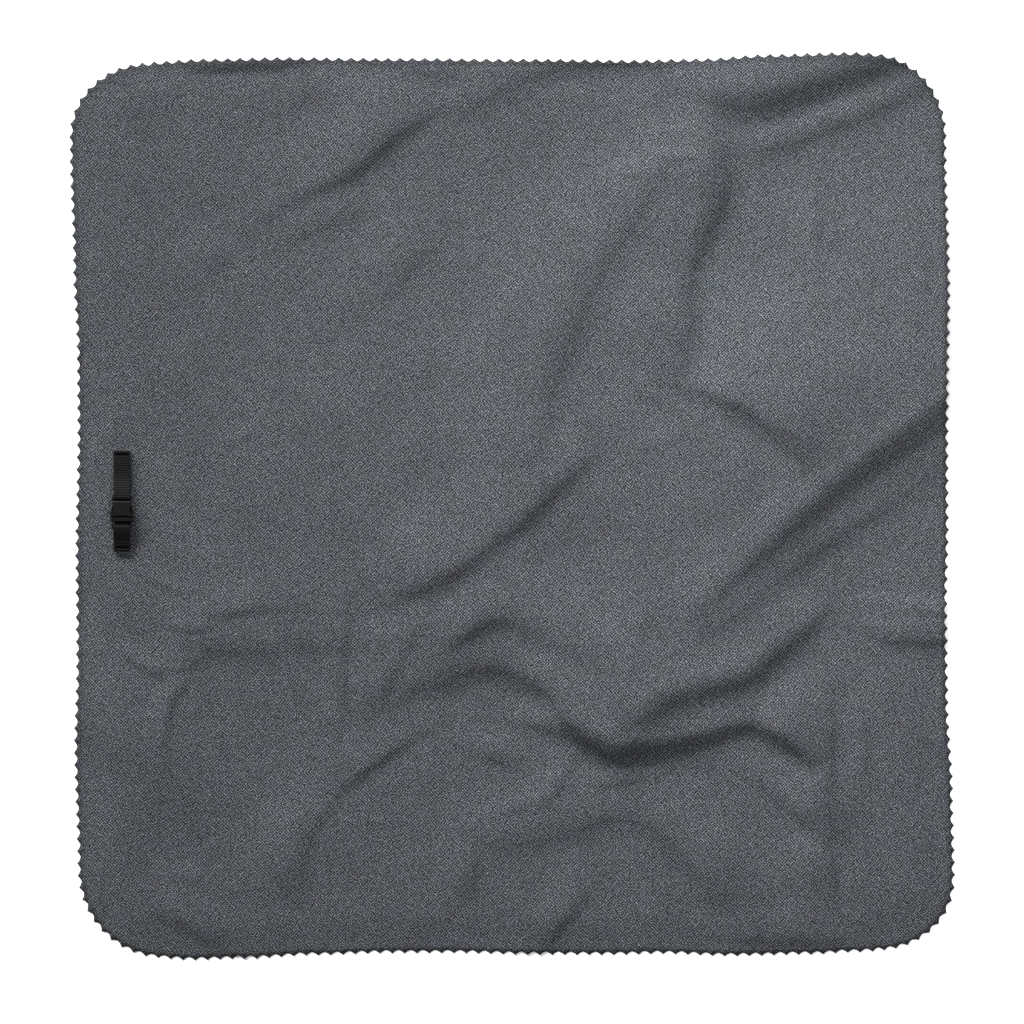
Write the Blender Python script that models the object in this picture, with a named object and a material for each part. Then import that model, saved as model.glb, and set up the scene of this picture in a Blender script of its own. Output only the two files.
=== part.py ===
"""Travel towel: a pinked microfibre cloth with a small buckled webbing strap.

The cloth lies on a surface at z = 0 with +X to its right and +Y to its top edge,
and the origin is the middle of its outline. Lengths in the tables are millimetres,
and MM turns them into metres.
"""
from collections import namedtuple
from math import cos, pi, sin

import bmesh
import bpy
import numpy as np
from mathutils import Vector
from mathutils.geometry import delaunay_2d_cdt

MM = 0.001

# ---- cloth outline -----------------------------------------------------------
HALF_WIDTH = 382.0           # middle of the cloth to the middle of the pinking, in X
HALF_LENGTH = 392.0          # the same in Y
CORNER_RADIUS = {"bottom_right": 64.0, "top_right": 67.0, "top_left": 66.0, "bottom_left": 75.0}
TOOTH_COUNT = 276            # pinked teeth round the whole cloth, about 10.8 mm each
TOOTH_DEPTH = 3.1            # tip to valley
CLOTH_THICKNESS = 1.2

# How far each side bows out from its straight line, by place along that side.
EdgeStation = namedtuple("EdgeStation", "along out")
SIDE_BOW = {
    "right": (EdgeStation(-319, 5.0), EdgeStation(-249, 3.4), EdgeStation(-170, -0.6),
              EdgeStation(-91, -1.7), EdgeStation(-20, -0.2), EdgeStation(102, -0.7),
              EdgeStation(191, 0.6), EdgeStation(313, -2.1)),
    "top": (EdgeStation(-335, -3.8), EdgeStation(-265, -0.5), EdgeStation(-195, 0.8),
            EdgeStation(-90, 0.0), EdgeStation(16, -0.8), EdgeStation(103, -1.6),
            EdgeStation(165, -0.5), EdgeStation(226, 2.8), EdgeStation(296, 4.5),
            EdgeStation(331, 3.5)),
    "left": (EdgeStation(-319, -2.2), EdgeStation(-214, 0.7), EdgeStation(-143, -1.0),
             EdgeStation(-38, -0.2), EdgeStation(67, -1.9), EdgeStation(137, -1.4),
             EdgeStation(207, 1.8), EdgeStation(313, 4.8)),
    "bottom": (EdgeStation(-317, 2.3), EdgeStation(-282, 4.5), EdgeStation(-230, 3.1),
               EdgeStation(-177, 0.3), EdgeStation(-107, -1.6), EdgeStation(-54, -1.7),
               EdgeStation(16, -0.3), EdgeStation(86, 0.0), EdgeStation(130, -1.0),
               EdgeStation(191, 1.0), EdgeStation(261, -0.4), EdgeStation(296, -2.2),
               EdgeStation(331, -3.8)),
}

# ---- folds -------------------------------------------------------------------
# Each row is a place on a fold's crest: where it is, how high the crest stands, and
# how far the cloth takes to come down to the surface on the left and on the right of
# the way the rows run.
Crest = namedtuple("Crest", "x y rise left right")
FOLDS = {
    "top_right_lip": (
        Crest(130, 358, 0.0, 26, 14), Crest(156, 358, 3.0, 26, 19), Crest(195, 356, 6.0, 35, 26),
        Crest(244, 370, 7.0, 39, 30), Crest(296, 390, 7.6, 39, 30), Crest(358, 411, 7.6, 39, 26)),
    "top_right_echo": (
        Crest(187, 313, 0.0, 21, 19), Crest(222, 321, 2.0, 21, 26), Crest(261, 332, 3.0, 21, 30),
        Crest(309, 349, 3.4, 21, 33), Crest(351, 365, 3.2, 21, 33), Crest(393, 383, 3.0, 21, 33)),
    "upper_left_wave": (
        Crest(-254, 234, 0.0, 53, 14), Crest(-219, 255, 1.2, 53, 19), Crest(-186, 274, 1.8, 56, 21),
        Crest(-148, 295, 3.6, 61, 23), Crest(-104, 332, 3.2, 61, 25), Crest(-63, 367, 2.2, 53, 26),
        Crest(-11, 386, 2.0, 44, 30), Crest(51, 393, 1.8, 35, 30), Crest(121, 400, 0.6, 26, 23)),
    "middle_wave": (
        Crest(-155, -98, 0.0, 53, 16), Crest(-116, -82, 1.8, 58, 18), Crest(-76, -63, 4.0, 61, 21),
        Crest(-41, -40, 4.2, 70, 23), Crest(0, -3, 3.8, 70, 23), Crest(36, 28, 3.4, 61, 23),
        Crest(72, 62, 2.4, 44, 19), Crest(88, 90, 0.0, 35, 18)),
    "middle_echo": (
        Crest(-63, -93, 0.0, 18, 23), Crest(-28, -66, 1.6, 18, 30), Crest(11, -36, 1.6, 18, 32),
        Crest(46, -7, 1.0, 18, 32), Crest(77, 23, 0.0, 18, 30)),
    "right_wave": (
        Crest(151, -93, 0.0, 70, 18), Crest(172, -72, 3.2, 79, 23), Crest(198, -47, 6.6, 88, 30),
        Crest(248, 0, 9.0, 96, 32), Crest(301, 44, 9.0, 96, 33), Crest(340, 71, 8.8, 96, 33),
        Crest(406, 114, 8.6, 96, 33)),
    "right_echo": (
        Crest(140, -138, 0.0, 23, 30), Crest(179, -101, 2.6, 23, 40), Crest(228, -59, 4.2, 23, 40),
        Crest(281, -22, 4.8, 23, 40), Crest(323, 6, 4.6, 23, 40), Crest(406, 58, 4.4, 23, 40)),
    "tall_rise": (
        Crest(151, 313, 0.0, 35, 18), Crest(133, 273, 3.0, 49, 26), Crest(112, 229, 4.0, 53, 30),
        Crest(86, 188, 4.4, 70, 30), Crest(74, 142, 4.6, 79, 26), Crest(61, 98, 4.0, 70, 23),
        Crest(47, 58, 2.0, 53, 21), Crest(38, 23, 0.0, 44, 21)),
    "tall_dome": (
        Crest(168, 378, 0.0, 26, 14), Crest(184, 339, 4.0, 44, 19), Crest(202, 295, 6.0, 61, 26),
        Crest(202, 264, 6.6, 70, 28), Crest(186, 229, 7.0, 88, 26), Crest(173, 185, 7.0, 96, 25),
        Crest(170, 142, 6.8, 96, 25), Crest(181, 109, 6.0, 96, 25), Crest(207, 92, 5.4, 88, 25),
        Crest(239, 69, 4.2, 61, 23), Crest(263, 42, 2.4, 44, 19), Crest(279, 14, 0.0, 35, 18)),
    "small_arch": (
        Crest(-72, -138, 0.0, 21, 12), Crest(-53, -114, 2.6, 23, 16), Crest(-30, -93, 4.2, 30, 19),
        Crest(-9, -84, 4.2, 35, 21), Crest(20, -93, 3.0, 35, 23), Crest(52, -114, 2.0, 32, 21),
        Crest(82, -138, 0.0, 30, 18)),
    "long_arch": (
        Crest(-105, -175, 0.0, 30, 18), Crest(-81, -152, 3.0, 26, 21), Crest(-55, -138, 4.4, 25, 26),
        Crest(-19, -128, 5.2, 30, 30), Crest(12, -135, 5.6, 39, 32), Crest(38, -161, 6.6, 56, 35),
        Crest(61, -184, 9.0, 67, 30), Crest(86, -198, 10.0, 56, 25), Crest(121, -198, 9.2, 42, 26),
        Crest(165, -187, 8.4, 32, 28), Crest(207, -171, 7.4, 30, 26), Crest(237, -186, 5.4, 35, 23),
        Crest(263, -215, 2.4, 30, 19), Crest(279, -240, 0.0, 25, 16)),
    "ridge_over": (
        Crest(88, -191, 0.0, 53, 14), Crest(109, -171, 4.6, 61, 21), Crest(137, -152, 6.8, 70, 25),
        Crest(169, -142, 7.4, 79, 28), Crest(202, -128, 7.6, 79, 28), Crest(235, -108, 7.4, 70, 26),
        Crest(263, -82, 5.0, 61, 21), Crest(284, -54, 0.0, 44, 18)),
    "right_edge_ripple": (
        Crest(293, -107, 0.0, 35, 12), Crest(319, -100, 2.6, 39, 18), Crest(353, -105, 3.4, 44, 23),
        Crest(406, -107, 3.4, 44, 23)),
    "lower_left_arc": (
        Crest(-37, -154, 0.0, 21, 12), Crest(-67, -175, 1.4, 26, 14), Crest(-105, -203, 2.2, 30, 16),
        Crest(-142, -233, 2.4, 30, 16), Crest(-165, -259, 1.8, 30, 16), Crest(-184, -301, 1.4, 30, 16),
        Crest(-195, -354, 0.0, 30, 14)),
    "bottom_arch": (
        Crest(-26, -298, 0.0, 26, 14), Crest(24, -284, 1.8, 35, 19), Crest(68, -264, 2.4, 39, 23),
        Crest(109, -257, 2.6, 39, 23), Crest(144, -275, 2.4, 35, 23), Crest(168, -308, 1.8, 32, 21),
        Crest(191, -354, 0.0, 26, 18)),
}
FOLD_STEPS = 48              # places worked out along each crest
FOLD_JOIN = 3.0              # power that joins two folds smoothly where they meet

# ---- cloth mesh --------------------------------------------------------------
GRID_STEP = 14.0             # between mesh points where the cloth is folded
ROW_STEP = GRID_STEP * 0.75 ** 0.5           # rows of even triangles
FLAT_SKIP = 4                # in flat cloth only every fourth point is kept
RIM_INSET = 7.0              # ring of mesh points inside the pinking
GRID_INSET = 17.0            # the grid stays this far inside the straight outline

# ---- strap and buckle --------------------------------------------------------
SEAT_GAP = 0.3               # between neighbouring pieces
WEBBING_WIDTH = 14.5
WEBBING_THICKNESS = 1.1
SEWN_GAP = 0.3               # between the two layers at a sewn end
STRAP_X = -342.0
UPPER_SEWN_END = 49.4        # Y of each webbing loop's sewn end
LOWER_SEWN_END = -39.2
BAR_RADIUS = 1.0
UPPER_BAR_Y = 7.4
LOWER_BAR_Y = -17.8
SLOPE_LENGTH = 22.0          # over which the top layer comes down from the bar

BUCKLE_Z = CLOTH_THICKNESS + 3.3             # mid height of the moulding
SOCKET_HALF_THICKNESS = 2.9
SOCKET_BACK = 4.5            # Y where the body ends and the bar's frame starts
PlanPoint = namedtuple("PlanPoint", "y half_width")
SOCKET_PLAN = (PlanPoint(4.5, 7.9), PlanPoint(3.6, 8.5), PlanPoint(-1.0, 9.2), PlanPoint(-5.0, 9.9),
               PlanPoint(-8.0, 10.2), PlanPoint(-10.0, 10.0))
MOUTH_DIP = 1.3              # the mouth's middle stands back by this
POCKET_HALF_WIDTH = 9.3
POCKET_HALF_HEIGHT = 1.5
POCKET_END = 1.6
WINDOW_TOP = 1.9             # side windows, where the prongs show
WINDOW_BOTTOM = -6.2
WINDOW_INNER = 7.2
FRAME_OUTER = 8.5            # half width of the frame that holds a bar
FRAME_INNER = 7.55

SHOULDER_TOP = -10.6         # the shoulder's upper edge follows the mouth
SHOULDER_PLAN = (PlanPoint(SHOULDER_TOP, 9.6), PlanPoint(-11.3, 10.0), PlanPoint(-12.5, 9.9),
                 PlanPoint(-13.3, 9.2))
SHOULDER_HALF_THICKNESS = 2.4
RAIL_HALF_THICKNESS = 1.7
PRONG_HALF_THICKNESS = 1.1
PRONG_PLAN = (                                # one prong, from its root to its tip
    (7.2, -11.2), (8.9, -11.2), (8.9, -5.9), (9.8, -5.7), (9.7, -4.2), (8.7, -0.6),
    (8.1, 1.0), (7.5, 1.0), (7.5, -2.0), (7.2, -6.0))
GUIDE_HALF_WIDTH = 1.1
GUIDE_TIP = -1.6


# ---- scene and materials -----------------------------------------------------
def clear_scene():
    """Remove every object already in the file."""
    for item in list(bpy.data.objects):
        bpy.data.objects.remove(item, do_unlink=True)


def make_material(name, colour, roughness, metallic=0.0):
    """Principled material with one colour."""
    material = bpy.data.materials.new(name)
    material.use_nodes = True
    shader = material.node_tree.nodes["Principled BSDF"]
    shader.inputs["Base Color"].default_value = (*colour, 1.0)
    shader.inputs["Roughness"].default_value = roughness
    shader.inputs["Metallic"].default_value = metallic
    material.diffuse_color = (*colour, 1.0)
    return material


def add_object(name, mesh, material=None):
    """Link a mesh to the scene as a named object."""
    item = bpy.data.objects.new(name, mesh)
    bpy.context.scene.collection.objects.link(item)
    if material:
        mesh.materials.append(material)
    return item


# ---- outline -----------------------------------------------------------------
def bow_along(side, along):
    """Outward bow of a side, easing from each station to the next."""
    stations = SIDE_BOW[side]
    places = [row.along for row in stations]
    offsets = np.array([row.out for row in stations])
    index = np.interp(along, places, np.arange(len(places)))
    low = np.clip(np.floor(index).astype(int), 0, len(places) - 2)
    part = index - low
    ease = part * part * (3.0 - 2.0 * part)
    return offsets[low] * (1.0 - ease) + offsets[low + 1] * ease


def straight_side(side, start, end, along_start, along_end):
    """One straight run of the outline: its length and a function of the run's fraction."""
    start, end = np.array(start), np.array(end)
    length = np.linalg.norm(end - start)
    outward = np.array((end[1] - start[1], start[0] - end[0])) / length

    def place(fraction):
        along = along_start + (along_end - along_start) * fraction
        point = start + (end - start) * fraction[:, None]
        normal = np.tile(outward, (len(fraction), 1))
        return point + normal * bow_along(side, along)[:, None], normal

    return length, place


def round_corner(centre, radius, start_angle, bow_before, bow_after):
    """One corner arc, whose bow eases from the side before it to the side after it."""
    def place(fraction):
        angle = start_angle + fraction * pi / 2
        normal = np.stack((np.cos(angle), np.sin(angle)), axis=1)
        ease = fraction * fraction * (3.0 - 2.0 * fraction)
        reach = radius + bow_before + (bow_after - bow_before) * ease
        return np.array(centre) + normal * reach[:, None], normal

    return radius * pi / 2, place


def outline_runs():
    """The eight runs of the outline, anticlockwise from the foot of the right side."""
    w, l, r = HALF_WIDTH, HALF_LENGTH, CORNER_RADIUS
    first = {side: rows[0].out for side, rows in SIDE_BOW.items()}
    last = {side: rows[-1].out for side, rows in SIDE_BOW.items()}
    br, tr, tl, bl = r["bottom_right"], r["top_right"], r["top_left"], r["bottom_left"]
    return (
        straight_side("right", (w, -l + br), (w, l - tr), -l + br, l - tr),
        round_corner((w - tr, l - tr), tr, 0.0, last["right"], last["top"]),
        straight_side("top", (w - tr, l), (-w + tl, l), w - tr, -w + tl),
        round_corner((-w + tl, l - tl), tl, pi / 2, first["top"], last["left"]),
        straight_side("left", (-w, l - tl), (-w, -l + bl), l - tl, -l + bl),
        round_corner((-w + bl, -l + bl), bl, pi, first["left"], first["bottom"]),
        straight_side("bottom", (-w + bl, -l), (w - br, -l), -w + bl, w - br),
        round_corner((w - br, -l + br), br, 1.5 * pi, last["bottom"], first["right"]),
    )


def outline_points(count):
    """Evenly spaced points of the outline before pinking, and their outward directions."""
    runs = outline_runs()
    total = sum(length for length, _ in runs)
    distance = np.arange(count) * total / count
    points, normals = np.zeros((count, 2)), np.zeros((count, 2))
    start = 0.0
    for length, place in runs:
        chosen = (distance >= start) & (distance < start + length)
        points[chosen], normals[chosen] = place((distance[chosen] - start) / length)
        start += length
    return points, normals


def pinked_outline():
    """The zigzag edge, a valley and a tip in turn, its own box centred on the origin."""
    points, normals = outline_points(2 * TOOTH_COUNT)
    swing = np.where(np.arange(len(points)) % 2, 0.5, -0.5) * TOOTH_DEPTH
    points = points + normals * swing[:, None]
    centre = (points.min(axis=0) + points.max(axis=0)) / 2
    return points - centre, normals, centre


# ---- folds -------------------------------------------------------------------
def smooth_rows(rows, count):
    """Catmull-Rom curve through the rows of a table, in every column."""
    table = np.array(rows, dtype=float)
    padded = np.vstack((2 * table[0] - table[1], table, 2 * table[-1] - table[-2]))
    place = np.linspace(0, len(table) - 1, count)
    index = np.clip(place.astype(int), 0, len(table) - 2)
    t = (place - index)[:, None]
    a, b, c, d = (padded[index + k] for k in range(4))
    return 0.5 * (2 * b + (c - a) * t + (2 * a - 5 * b + 4 * c - d) * t**2
                  + (3 * b - a - 3 * c + d) * t**3)


def fold_rise(x, y, rows):
    """Height of one fold: a cosine-squared ridge that falls away from its crest."""
    crest = smooth_rows(rows, FOLD_STEPS)
    nearest = np.full(x.shape, np.inf)
    rise, reach = np.zeros(x.shape), np.ones(x.shape)
    for start, end in zip(crest[:-1], crest[1:]):
        run = end[:2] - start[:2]
        t = np.clip(((x - start[0]) * run[0] + (y - start[1]) * run[1]) / (run @ run), 0, 1)
        away = np.hypot(x - start[0] - t * run[0], y - start[1] - t * run[1])
        closer = away < nearest
        on_left = run[0] * (y - start[1]) - run[1] * (x - start[0]) > 0
        here = start[:, None] + (end - start)[:, None] * t
        nearest = np.where(closer, away, nearest)
        rise = np.where(closer, here[2], rise)
        reach = np.where(closer, np.where(on_left, here[3], here[4]), reach)
    slope = np.cos(np.clip(nearest / reach, 0, 1) * pi / 2) ** 2
    return np.maximum(rise, 0) * slope


def cloth_rise(x, y):
    """Height of the cloth's underside over the surface, from all the folds together."""
    total = sum(fold_rise(x, y, rows) ** FOLD_JOIN for rows in FOLDS.values())
    height = total ** (1 / FOLD_JOIN)
    return np.where(height < 0.02, 0.0, height)


# ---- cloth -------------------------------------------------------------------
def inside_depth(x, y):
    """Distance inside the straight outline with its tightest corners."""
    radius = min(CORNER_RADIUS.values())
    across = np.abs(x) - (HALF_WIDTH - radius)
    along = np.abs(y) - (HALF_LENGTH - radius)
    outside = np.hypot(np.maximum(across, 0), np.maximum(along, 0))
    return radius - outside - np.minimum(np.maximum(across, along), 0)


def grid_points():
    """Inner mesh points: close together on the folds and sparse where the cloth is flat."""
    columns = int(2 * HALF_WIDTH / GRID_STEP) + 1
    rows = int(2 * HALF_LENGTH / ROW_STEP) + 1
    column, row = (index.ravel() for index in np.meshgrid(np.arange(columns), np.arange(rows)))
    x = -HALF_WIDTH + GRID_STEP * (column + 0.5 * (row % 2))
    y = -HALF_LENGTH + ROW_STEP * row
    folded = cloth_rise(x, y) > 0
    sparse = (column % FLAT_SKIP == 0) & (row % FLAT_SKIP == 0)
    keep = (inside_depth(x, y) > GRID_INSET) & (folded | sparse)
    return np.stack((x[keep], y[keep]), axis=1)


def build_cloth(material):
    """Thin closed sheet: underside on the folds, top one thickness above it."""
    rim, normals, centre = pinked_outline()
    ring_points, ring_normals = outline_points(TOOTH_COUNT)
    ring = ring_points - ring_normals * RIM_INSET - centre
    flat = np.vstack((rim, ring, grid_points() - centre))
    rim_count, ring_count = len(rim), len(ring)
    edges = [(i, (i + 1) % rim_count) for i in range(rim_count)]
    edges += [(rim_count + i, rim_count + (i + 1) % ring_count) for i in range(ring_count)]
    vertices, _, faces, _, _, _ = delaunay_2d_cdt(
        [Vector(point) for point in flat], edges, [], 1, 1e-5)
    plan = np.array([tuple(vertex) for vertex in vertices])
    under = cloth_rise(plan[:, 0] + centre[0], plan[:, 1] + centre[1])
    count = len(plan)
    low = np.column_stack((plan, under)) * MM
    high = np.column_stack((plan, under + CLOTH_THICKNESS)) * MM

    mesh = bpy.data.meshes.new("towel_cloth")
    walls = [(i, (i + 1) % rim_count, (i + 1) % rim_count + count, i + count)
             for i in range(rim_count)]
    tops = [tuple(i + count for i in face) for face in faces]
    bottoms = [tuple(reversed(face)) for face in faces]
    mesh.from_pydata(np.vstack((low, high)).tolist(), [], tops + bottoms + walls)
    mesh.shade_smooth()
    mesh.set_sharp_from_angle(angle=pi / 4)
    return add_object("towel_cloth", mesh, material)


# ---- webbing -----------------------------------------------------------------
def arc(centre, radius, start, end, steps):
    """Points of an arc from one angle to another, in the strap's length and height."""
    angles = np.linspace(start, end, steps + 1)
    return [(centre[0] + radius * cos(a), centre[1] + radius * sin(a)) for a in angles]


def band_path(bar_y, sewn_y, offset):
    """Closed path round the bar and back to the sewn end, moved outward by offset."""
    way = 1.0 if sewn_y > bar_y else -1.0
    half = WEBBING_THICKNESS / 2
    low_z = CLOTH_THICKNESS + SEAT_GAP + half
    turn = BAR_RADIUS + SEAT_GAP + half
    end_turn = SEWN_GAP / 2 + half
    bar_z = low_z + turn
    reach = abs(sewn_y - bar_y) - half - end_turn
    slope = min(SLOPE_LENGTH, 0.8 * reach)

    path = arc((0.0, bar_z), turn + offset, -pi / 2, -3 * pi / 2, 12)
    for step in range(1, 13):
        along = slope * step / 12
        drop = 0.5 - 0.5 * cos(pi * step / 12)
        z = low_z + 2 * turn - drop * (2 * turn - 2 * end_turn)
        path.append((along, z + offset))
    path += arc((reach, low_z + end_turn), end_turn + offset, pi / 2, -pi / 2, 6)
    return [(bar_y + way * along, z) for along, z in path]


def build_webbing(name, bar_y, sewn_y, material):
    """A webbing loop: a band of even thickness, drawn across its width."""
    half = WEBBING_THICKNESS / 2
    outer = band_path(bar_y, sewn_y, half)
    inner = band_path(bar_y, sewn_y, -half)
    count = len(outer)
    vertices = []
    for x in (STRAP_X - WEBBING_WIDTH / 2, STRAP_X + WEBBING_WIDTH / 2):
        vertices += [(x * MM, y * MM, z * MM) for y, z in outer + inner]
    faces = []
    for i in range(count):
        j = (i + 1) % count
        shift = 2 * count
        faces.append((i, j, count + j, count + i))
        faces.append((shift + i, shift + count + i, shift + count + j, shift + j))
        faces.append((i, shift + i, shift + j, j))
        faces.append((count + i, count + j, shift + count + j, shift + count + i))
    mesh = bpy.data.meshes.new(name)
    mesh.from_pydata(vertices, [], faces)
    face_outward(mesh)
    mesh.shade_smooth()
    mesh.set_sharp_from_angle(angle=pi / 4)
    return add_object(name, mesh, material)


def face_outward(mesh):
    """Turn every face of a closed mesh to the outside."""
    shape = bmesh.new()
    shape.from_mesh(mesh)
    bmesh.ops.recalc_face_normals(shape, faces=shape.faces)
    if shape.calc_volume(signed=True) < 0:
        bmesh.ops.reverse_faces(shape, faces=shape.faces)
    shape.to_mesh(mesh)
    shape.free()


# ---- buckle ------------------------------------------------------------------
def extruded(name, plan, half_thickness, edge_round, material=None, middle=BUCKLE_Z):
    """Solid from a plan outline in millimetres, its long edges rounded."""
    shape = bmesh.new()
    corners = [shape.verts.new((x * MM, y * MM, (middle - half_thickness) * MM)) for x, y in plan]
    base = shape.faces.new(corners)
    raised = bmesh.ops.extrude_face_region(shape, geom=[base])
    moved = [part for part in raised["geom"] if isinstance(part, bmesh.types.BMVert)]
    bmesh.ops.translate(shape, verts=moved, vec=(0, 0, 2 * half_thickness * MM))
    bmesh.ops.recalc_face_normals(shape, faces=shape.faces)
    if edge_round:
        flat = [e for e in shape.edges if abs(e.verts[0].co.z - e.verts[1].co.z) < 1e-7]
        bmesh.ops.bevel(shape, geom=flat, offset=edge_round * MM, segments=3, profile=0.5,
                        affect="EDGES")
    mesh = bpy.data.meshes.new(name)
    shape.to_mesh(mesh)
    shape.free()
    item = add_object(name, mesh, material)
    item.location.x = STRAP_X * MM
    return item


def rectangle(x_low, x_high, y_low, y_high):
    """Plan outline of a rectangle."""
    return ((x_low, y_low), (x_high, y_low), (x_high, y_high), (x_low, y_high))


def mirrored_plan(rows, foot=(), head=()):
    """Plan outline from its right half, top to bottom, with points across its foot and head."""
    right = [(row.half_width, row.y) for row in rows]
    left = [(-row.half_width, row.y) for row in reversed(rows)]
    return right + list(foot) + left + list(head)


def mouth_curve(y, half_width):
    """Points of the curve shared by the socket's mouth and the shoulder, right to left."""
    turns = [pi * step / 8 for step in range(1, 8)]
    return [(half_width * cos(turn), y + MOUTH_DIP * sin(turn)) for turn in turns]


def combine(target, other, operation):
    """Boolean of a hidden helper with the target."""
    step = target.modifiers.new(other.name, "BOOLEAN")
    step.operation = operation
    step.solver = "MANIFOLD"
    step.object = other
    other.hide_render = True
    other.display_type = "WIRE"


def bar_object(name, bar_y, half_length):
    """Round bar that the webbing turns round, as a hidden helper."""
    shape = bmesh.new()
    bmesh.ops.create_cone(shape, cap_ends=True, segments=20, radius1=BAR_RADIUS * MM,
                          radius2=BAR_RADIUS * MM, depth=2 * half_length * MM)
    mesh = bpy.data.meshes.new(name)
    shape.to_mesh(mesh)
    shape.free()
    item = add_object(name, mesh)
    bar_z = CLOTH_THICKNESS + 2 * SEAT_GAP + WEBBING_THICKNESS + BAR_RADIUS
    item.location = (STRAP_X * MM, bar_y * MM, bar_z * MM)
    item.rotation_euler.y = pi / 2
    return item


def build_socket(material):
    """Socket: flat hollow body with side windows, and a bar in a frame behind it."""
    foot = SOCKET_PLAN[-1]
    mouth = mouth_curve(foot.y, foot.half_width)
    socket = extruded("buckle_socket", mirrored_plan(SOCKET_PLAN, mouth),
                      SOCKET_HALF_THICKNESS, 0.9, material)
    middle = (FRAME_OUTER + FRAME_INNER) / 2
    for side, label in ((-1, "left"), (1, "right")):
        x_low, x_high = sorted((side * FRAME_INNER, side * FRAME_OUTER))
        arm = extruded(f"socket_arm_{label}",
                       rectangle(x_low, x_high, SOCKET_BACK - 1.5, UPPER_BAR_Y + 1.3), 1.6, 0.3)
        combine(socket, arm, "UNION")
    combine(socket, bar_object("socket_bar", UPPER_BAR_Y, middle), "UNION")
    pocket = extruded("socket_pocket",
                      rectangle(-POCKET_HALF_WIDTH, POCKET_HALF_WIDTH, foot.y - 4.0, POCKET_END),
                      POCKET_HALF_HEIGHT, 0.0)
    combine(socket, pocket, "DIFFERENCE")
    for side, label in ((-1, "left"), (1, "right")):
        x_low, x_high = sorted((side * WINDOW_INNER, side * 13.0))
        window = extruded(f"socket_window_{label}",
                          rectangle(x_low, x_high, WINDOW_BOTTOM, WINDOW_TOP), 5.0, 0.0)
        combine(socket, window, "DIFFERENCE")
    return socket


def build_plug(material):
    """Plug: shoulder, two sprung prongs and a guide, and a framed bar for the webbing."""
    brow = reversed(mouth_curve(SHOULDER_TOP, SHOULDER_PLAN[0].half_width))
    plug = extruded("buckle_plug", mirrored_plan(SHOULDER_PLAN, head=brow),
                    SHOULDER_HALF_THICKNESS, 0.6, material)
    for side, label in ((-1, "left"), (1, "right")):
        prong = extruded(f"plug_prong_{label}", [(side * x, y) for x, y in PRONG_PLAN],
                         PRONG_HALF_THICKNESS, 0.25)
        combine(plug, prong, "UNION")
        x_low, x_high = sorted((side * FRAME_INNER, side * FRAME_OUTER))
        rail = extruded(f"plug_rail_{label}",
                        rectangle(x_low, x_high, LOWER_BAR_Y - 1.3, SHOULDER_PLAN[-1].y + 0.9),
                        RAIL_HALF_THICKNESS, 0.3)
        combine(plug, rail, "UNION")
    guide = extruded("plug_guide",
                     rectangle(-GUIDE_HALF_WIDTH, GUIDE_HALF_WIDTH, -11.4, GUIDE_TIP), 0.9, 0.2)
    combine(plug, guide, "UNION")
    middle = (FRAME_OUTER + FRAME_INNER) / 2
    combine(plug, bar_object("plug_bar", LOWER_BAR_Y, middle), "UNION")
    return plug


def main():
    clear_scene()
    cloth = make_material("grey_microfibre", (0.108, 0.115, 0.127), 0.92)
    webbing = make_material("black_webbing", (0.013, 0.013, 0.014), 0.75)
    plastic = make_material("black_acetal", (0.010, 0.010, 0.011), 0.38)
    build_cloth(cloth)
    build_webbing("webbing_upper", UPPER_BAR_Y, UPPER_SEWN_END, webbing)
    build_webbing("webbing_lower", LOWER_BAR_Y, LOWER_SEWN_END, webbing)
    build_socket(plastic)
    build_plug(plastic)


main()
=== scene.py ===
"""Travel towel: the finished look of a pinked microfibre cloth and its buckled strap.

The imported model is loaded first, and every piece is placed from its boxes. Lengths in
the tables are millimetres, and MM turns them into metres. X runs to the cloth's right
and Y to its top edge.
"""
from collections import namedtuple
from math import cos, pi, radians, sin, sqrt

import bmesh
import bpy
import numpy as np
from bpy.props import FloatProperty, FloatVectorProperty, IntProperty, PointerProperty
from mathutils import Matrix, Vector


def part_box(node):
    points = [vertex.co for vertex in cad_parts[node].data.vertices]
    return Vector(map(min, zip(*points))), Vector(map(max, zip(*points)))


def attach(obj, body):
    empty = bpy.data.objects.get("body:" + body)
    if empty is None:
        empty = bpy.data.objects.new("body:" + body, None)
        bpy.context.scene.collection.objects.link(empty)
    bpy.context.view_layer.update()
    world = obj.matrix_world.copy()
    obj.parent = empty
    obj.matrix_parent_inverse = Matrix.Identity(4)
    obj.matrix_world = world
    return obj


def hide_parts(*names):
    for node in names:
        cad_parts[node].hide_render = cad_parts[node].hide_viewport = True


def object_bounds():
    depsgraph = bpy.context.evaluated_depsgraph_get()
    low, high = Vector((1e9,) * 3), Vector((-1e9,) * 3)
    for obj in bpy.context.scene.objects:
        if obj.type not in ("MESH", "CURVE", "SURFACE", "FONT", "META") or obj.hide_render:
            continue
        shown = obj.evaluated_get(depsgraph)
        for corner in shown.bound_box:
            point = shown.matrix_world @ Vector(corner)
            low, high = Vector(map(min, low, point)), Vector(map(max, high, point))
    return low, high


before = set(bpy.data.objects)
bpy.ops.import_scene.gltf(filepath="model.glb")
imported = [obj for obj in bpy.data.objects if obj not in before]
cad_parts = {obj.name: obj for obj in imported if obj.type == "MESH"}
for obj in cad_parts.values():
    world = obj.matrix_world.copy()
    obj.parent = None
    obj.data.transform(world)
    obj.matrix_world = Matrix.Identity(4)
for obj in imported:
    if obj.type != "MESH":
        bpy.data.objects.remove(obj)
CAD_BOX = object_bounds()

bl_info = {
    "name": "Travel towel",
    "version": (1, 0, 0),
    "blender": (4, 5, 0),
    "location": "View3D > Sidebar > Towel",
    "description": "Builds a pinked microfibre travel towel with a small buckled strap",
    "category": "Add Mesh",
}

MM = 0.001

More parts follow.
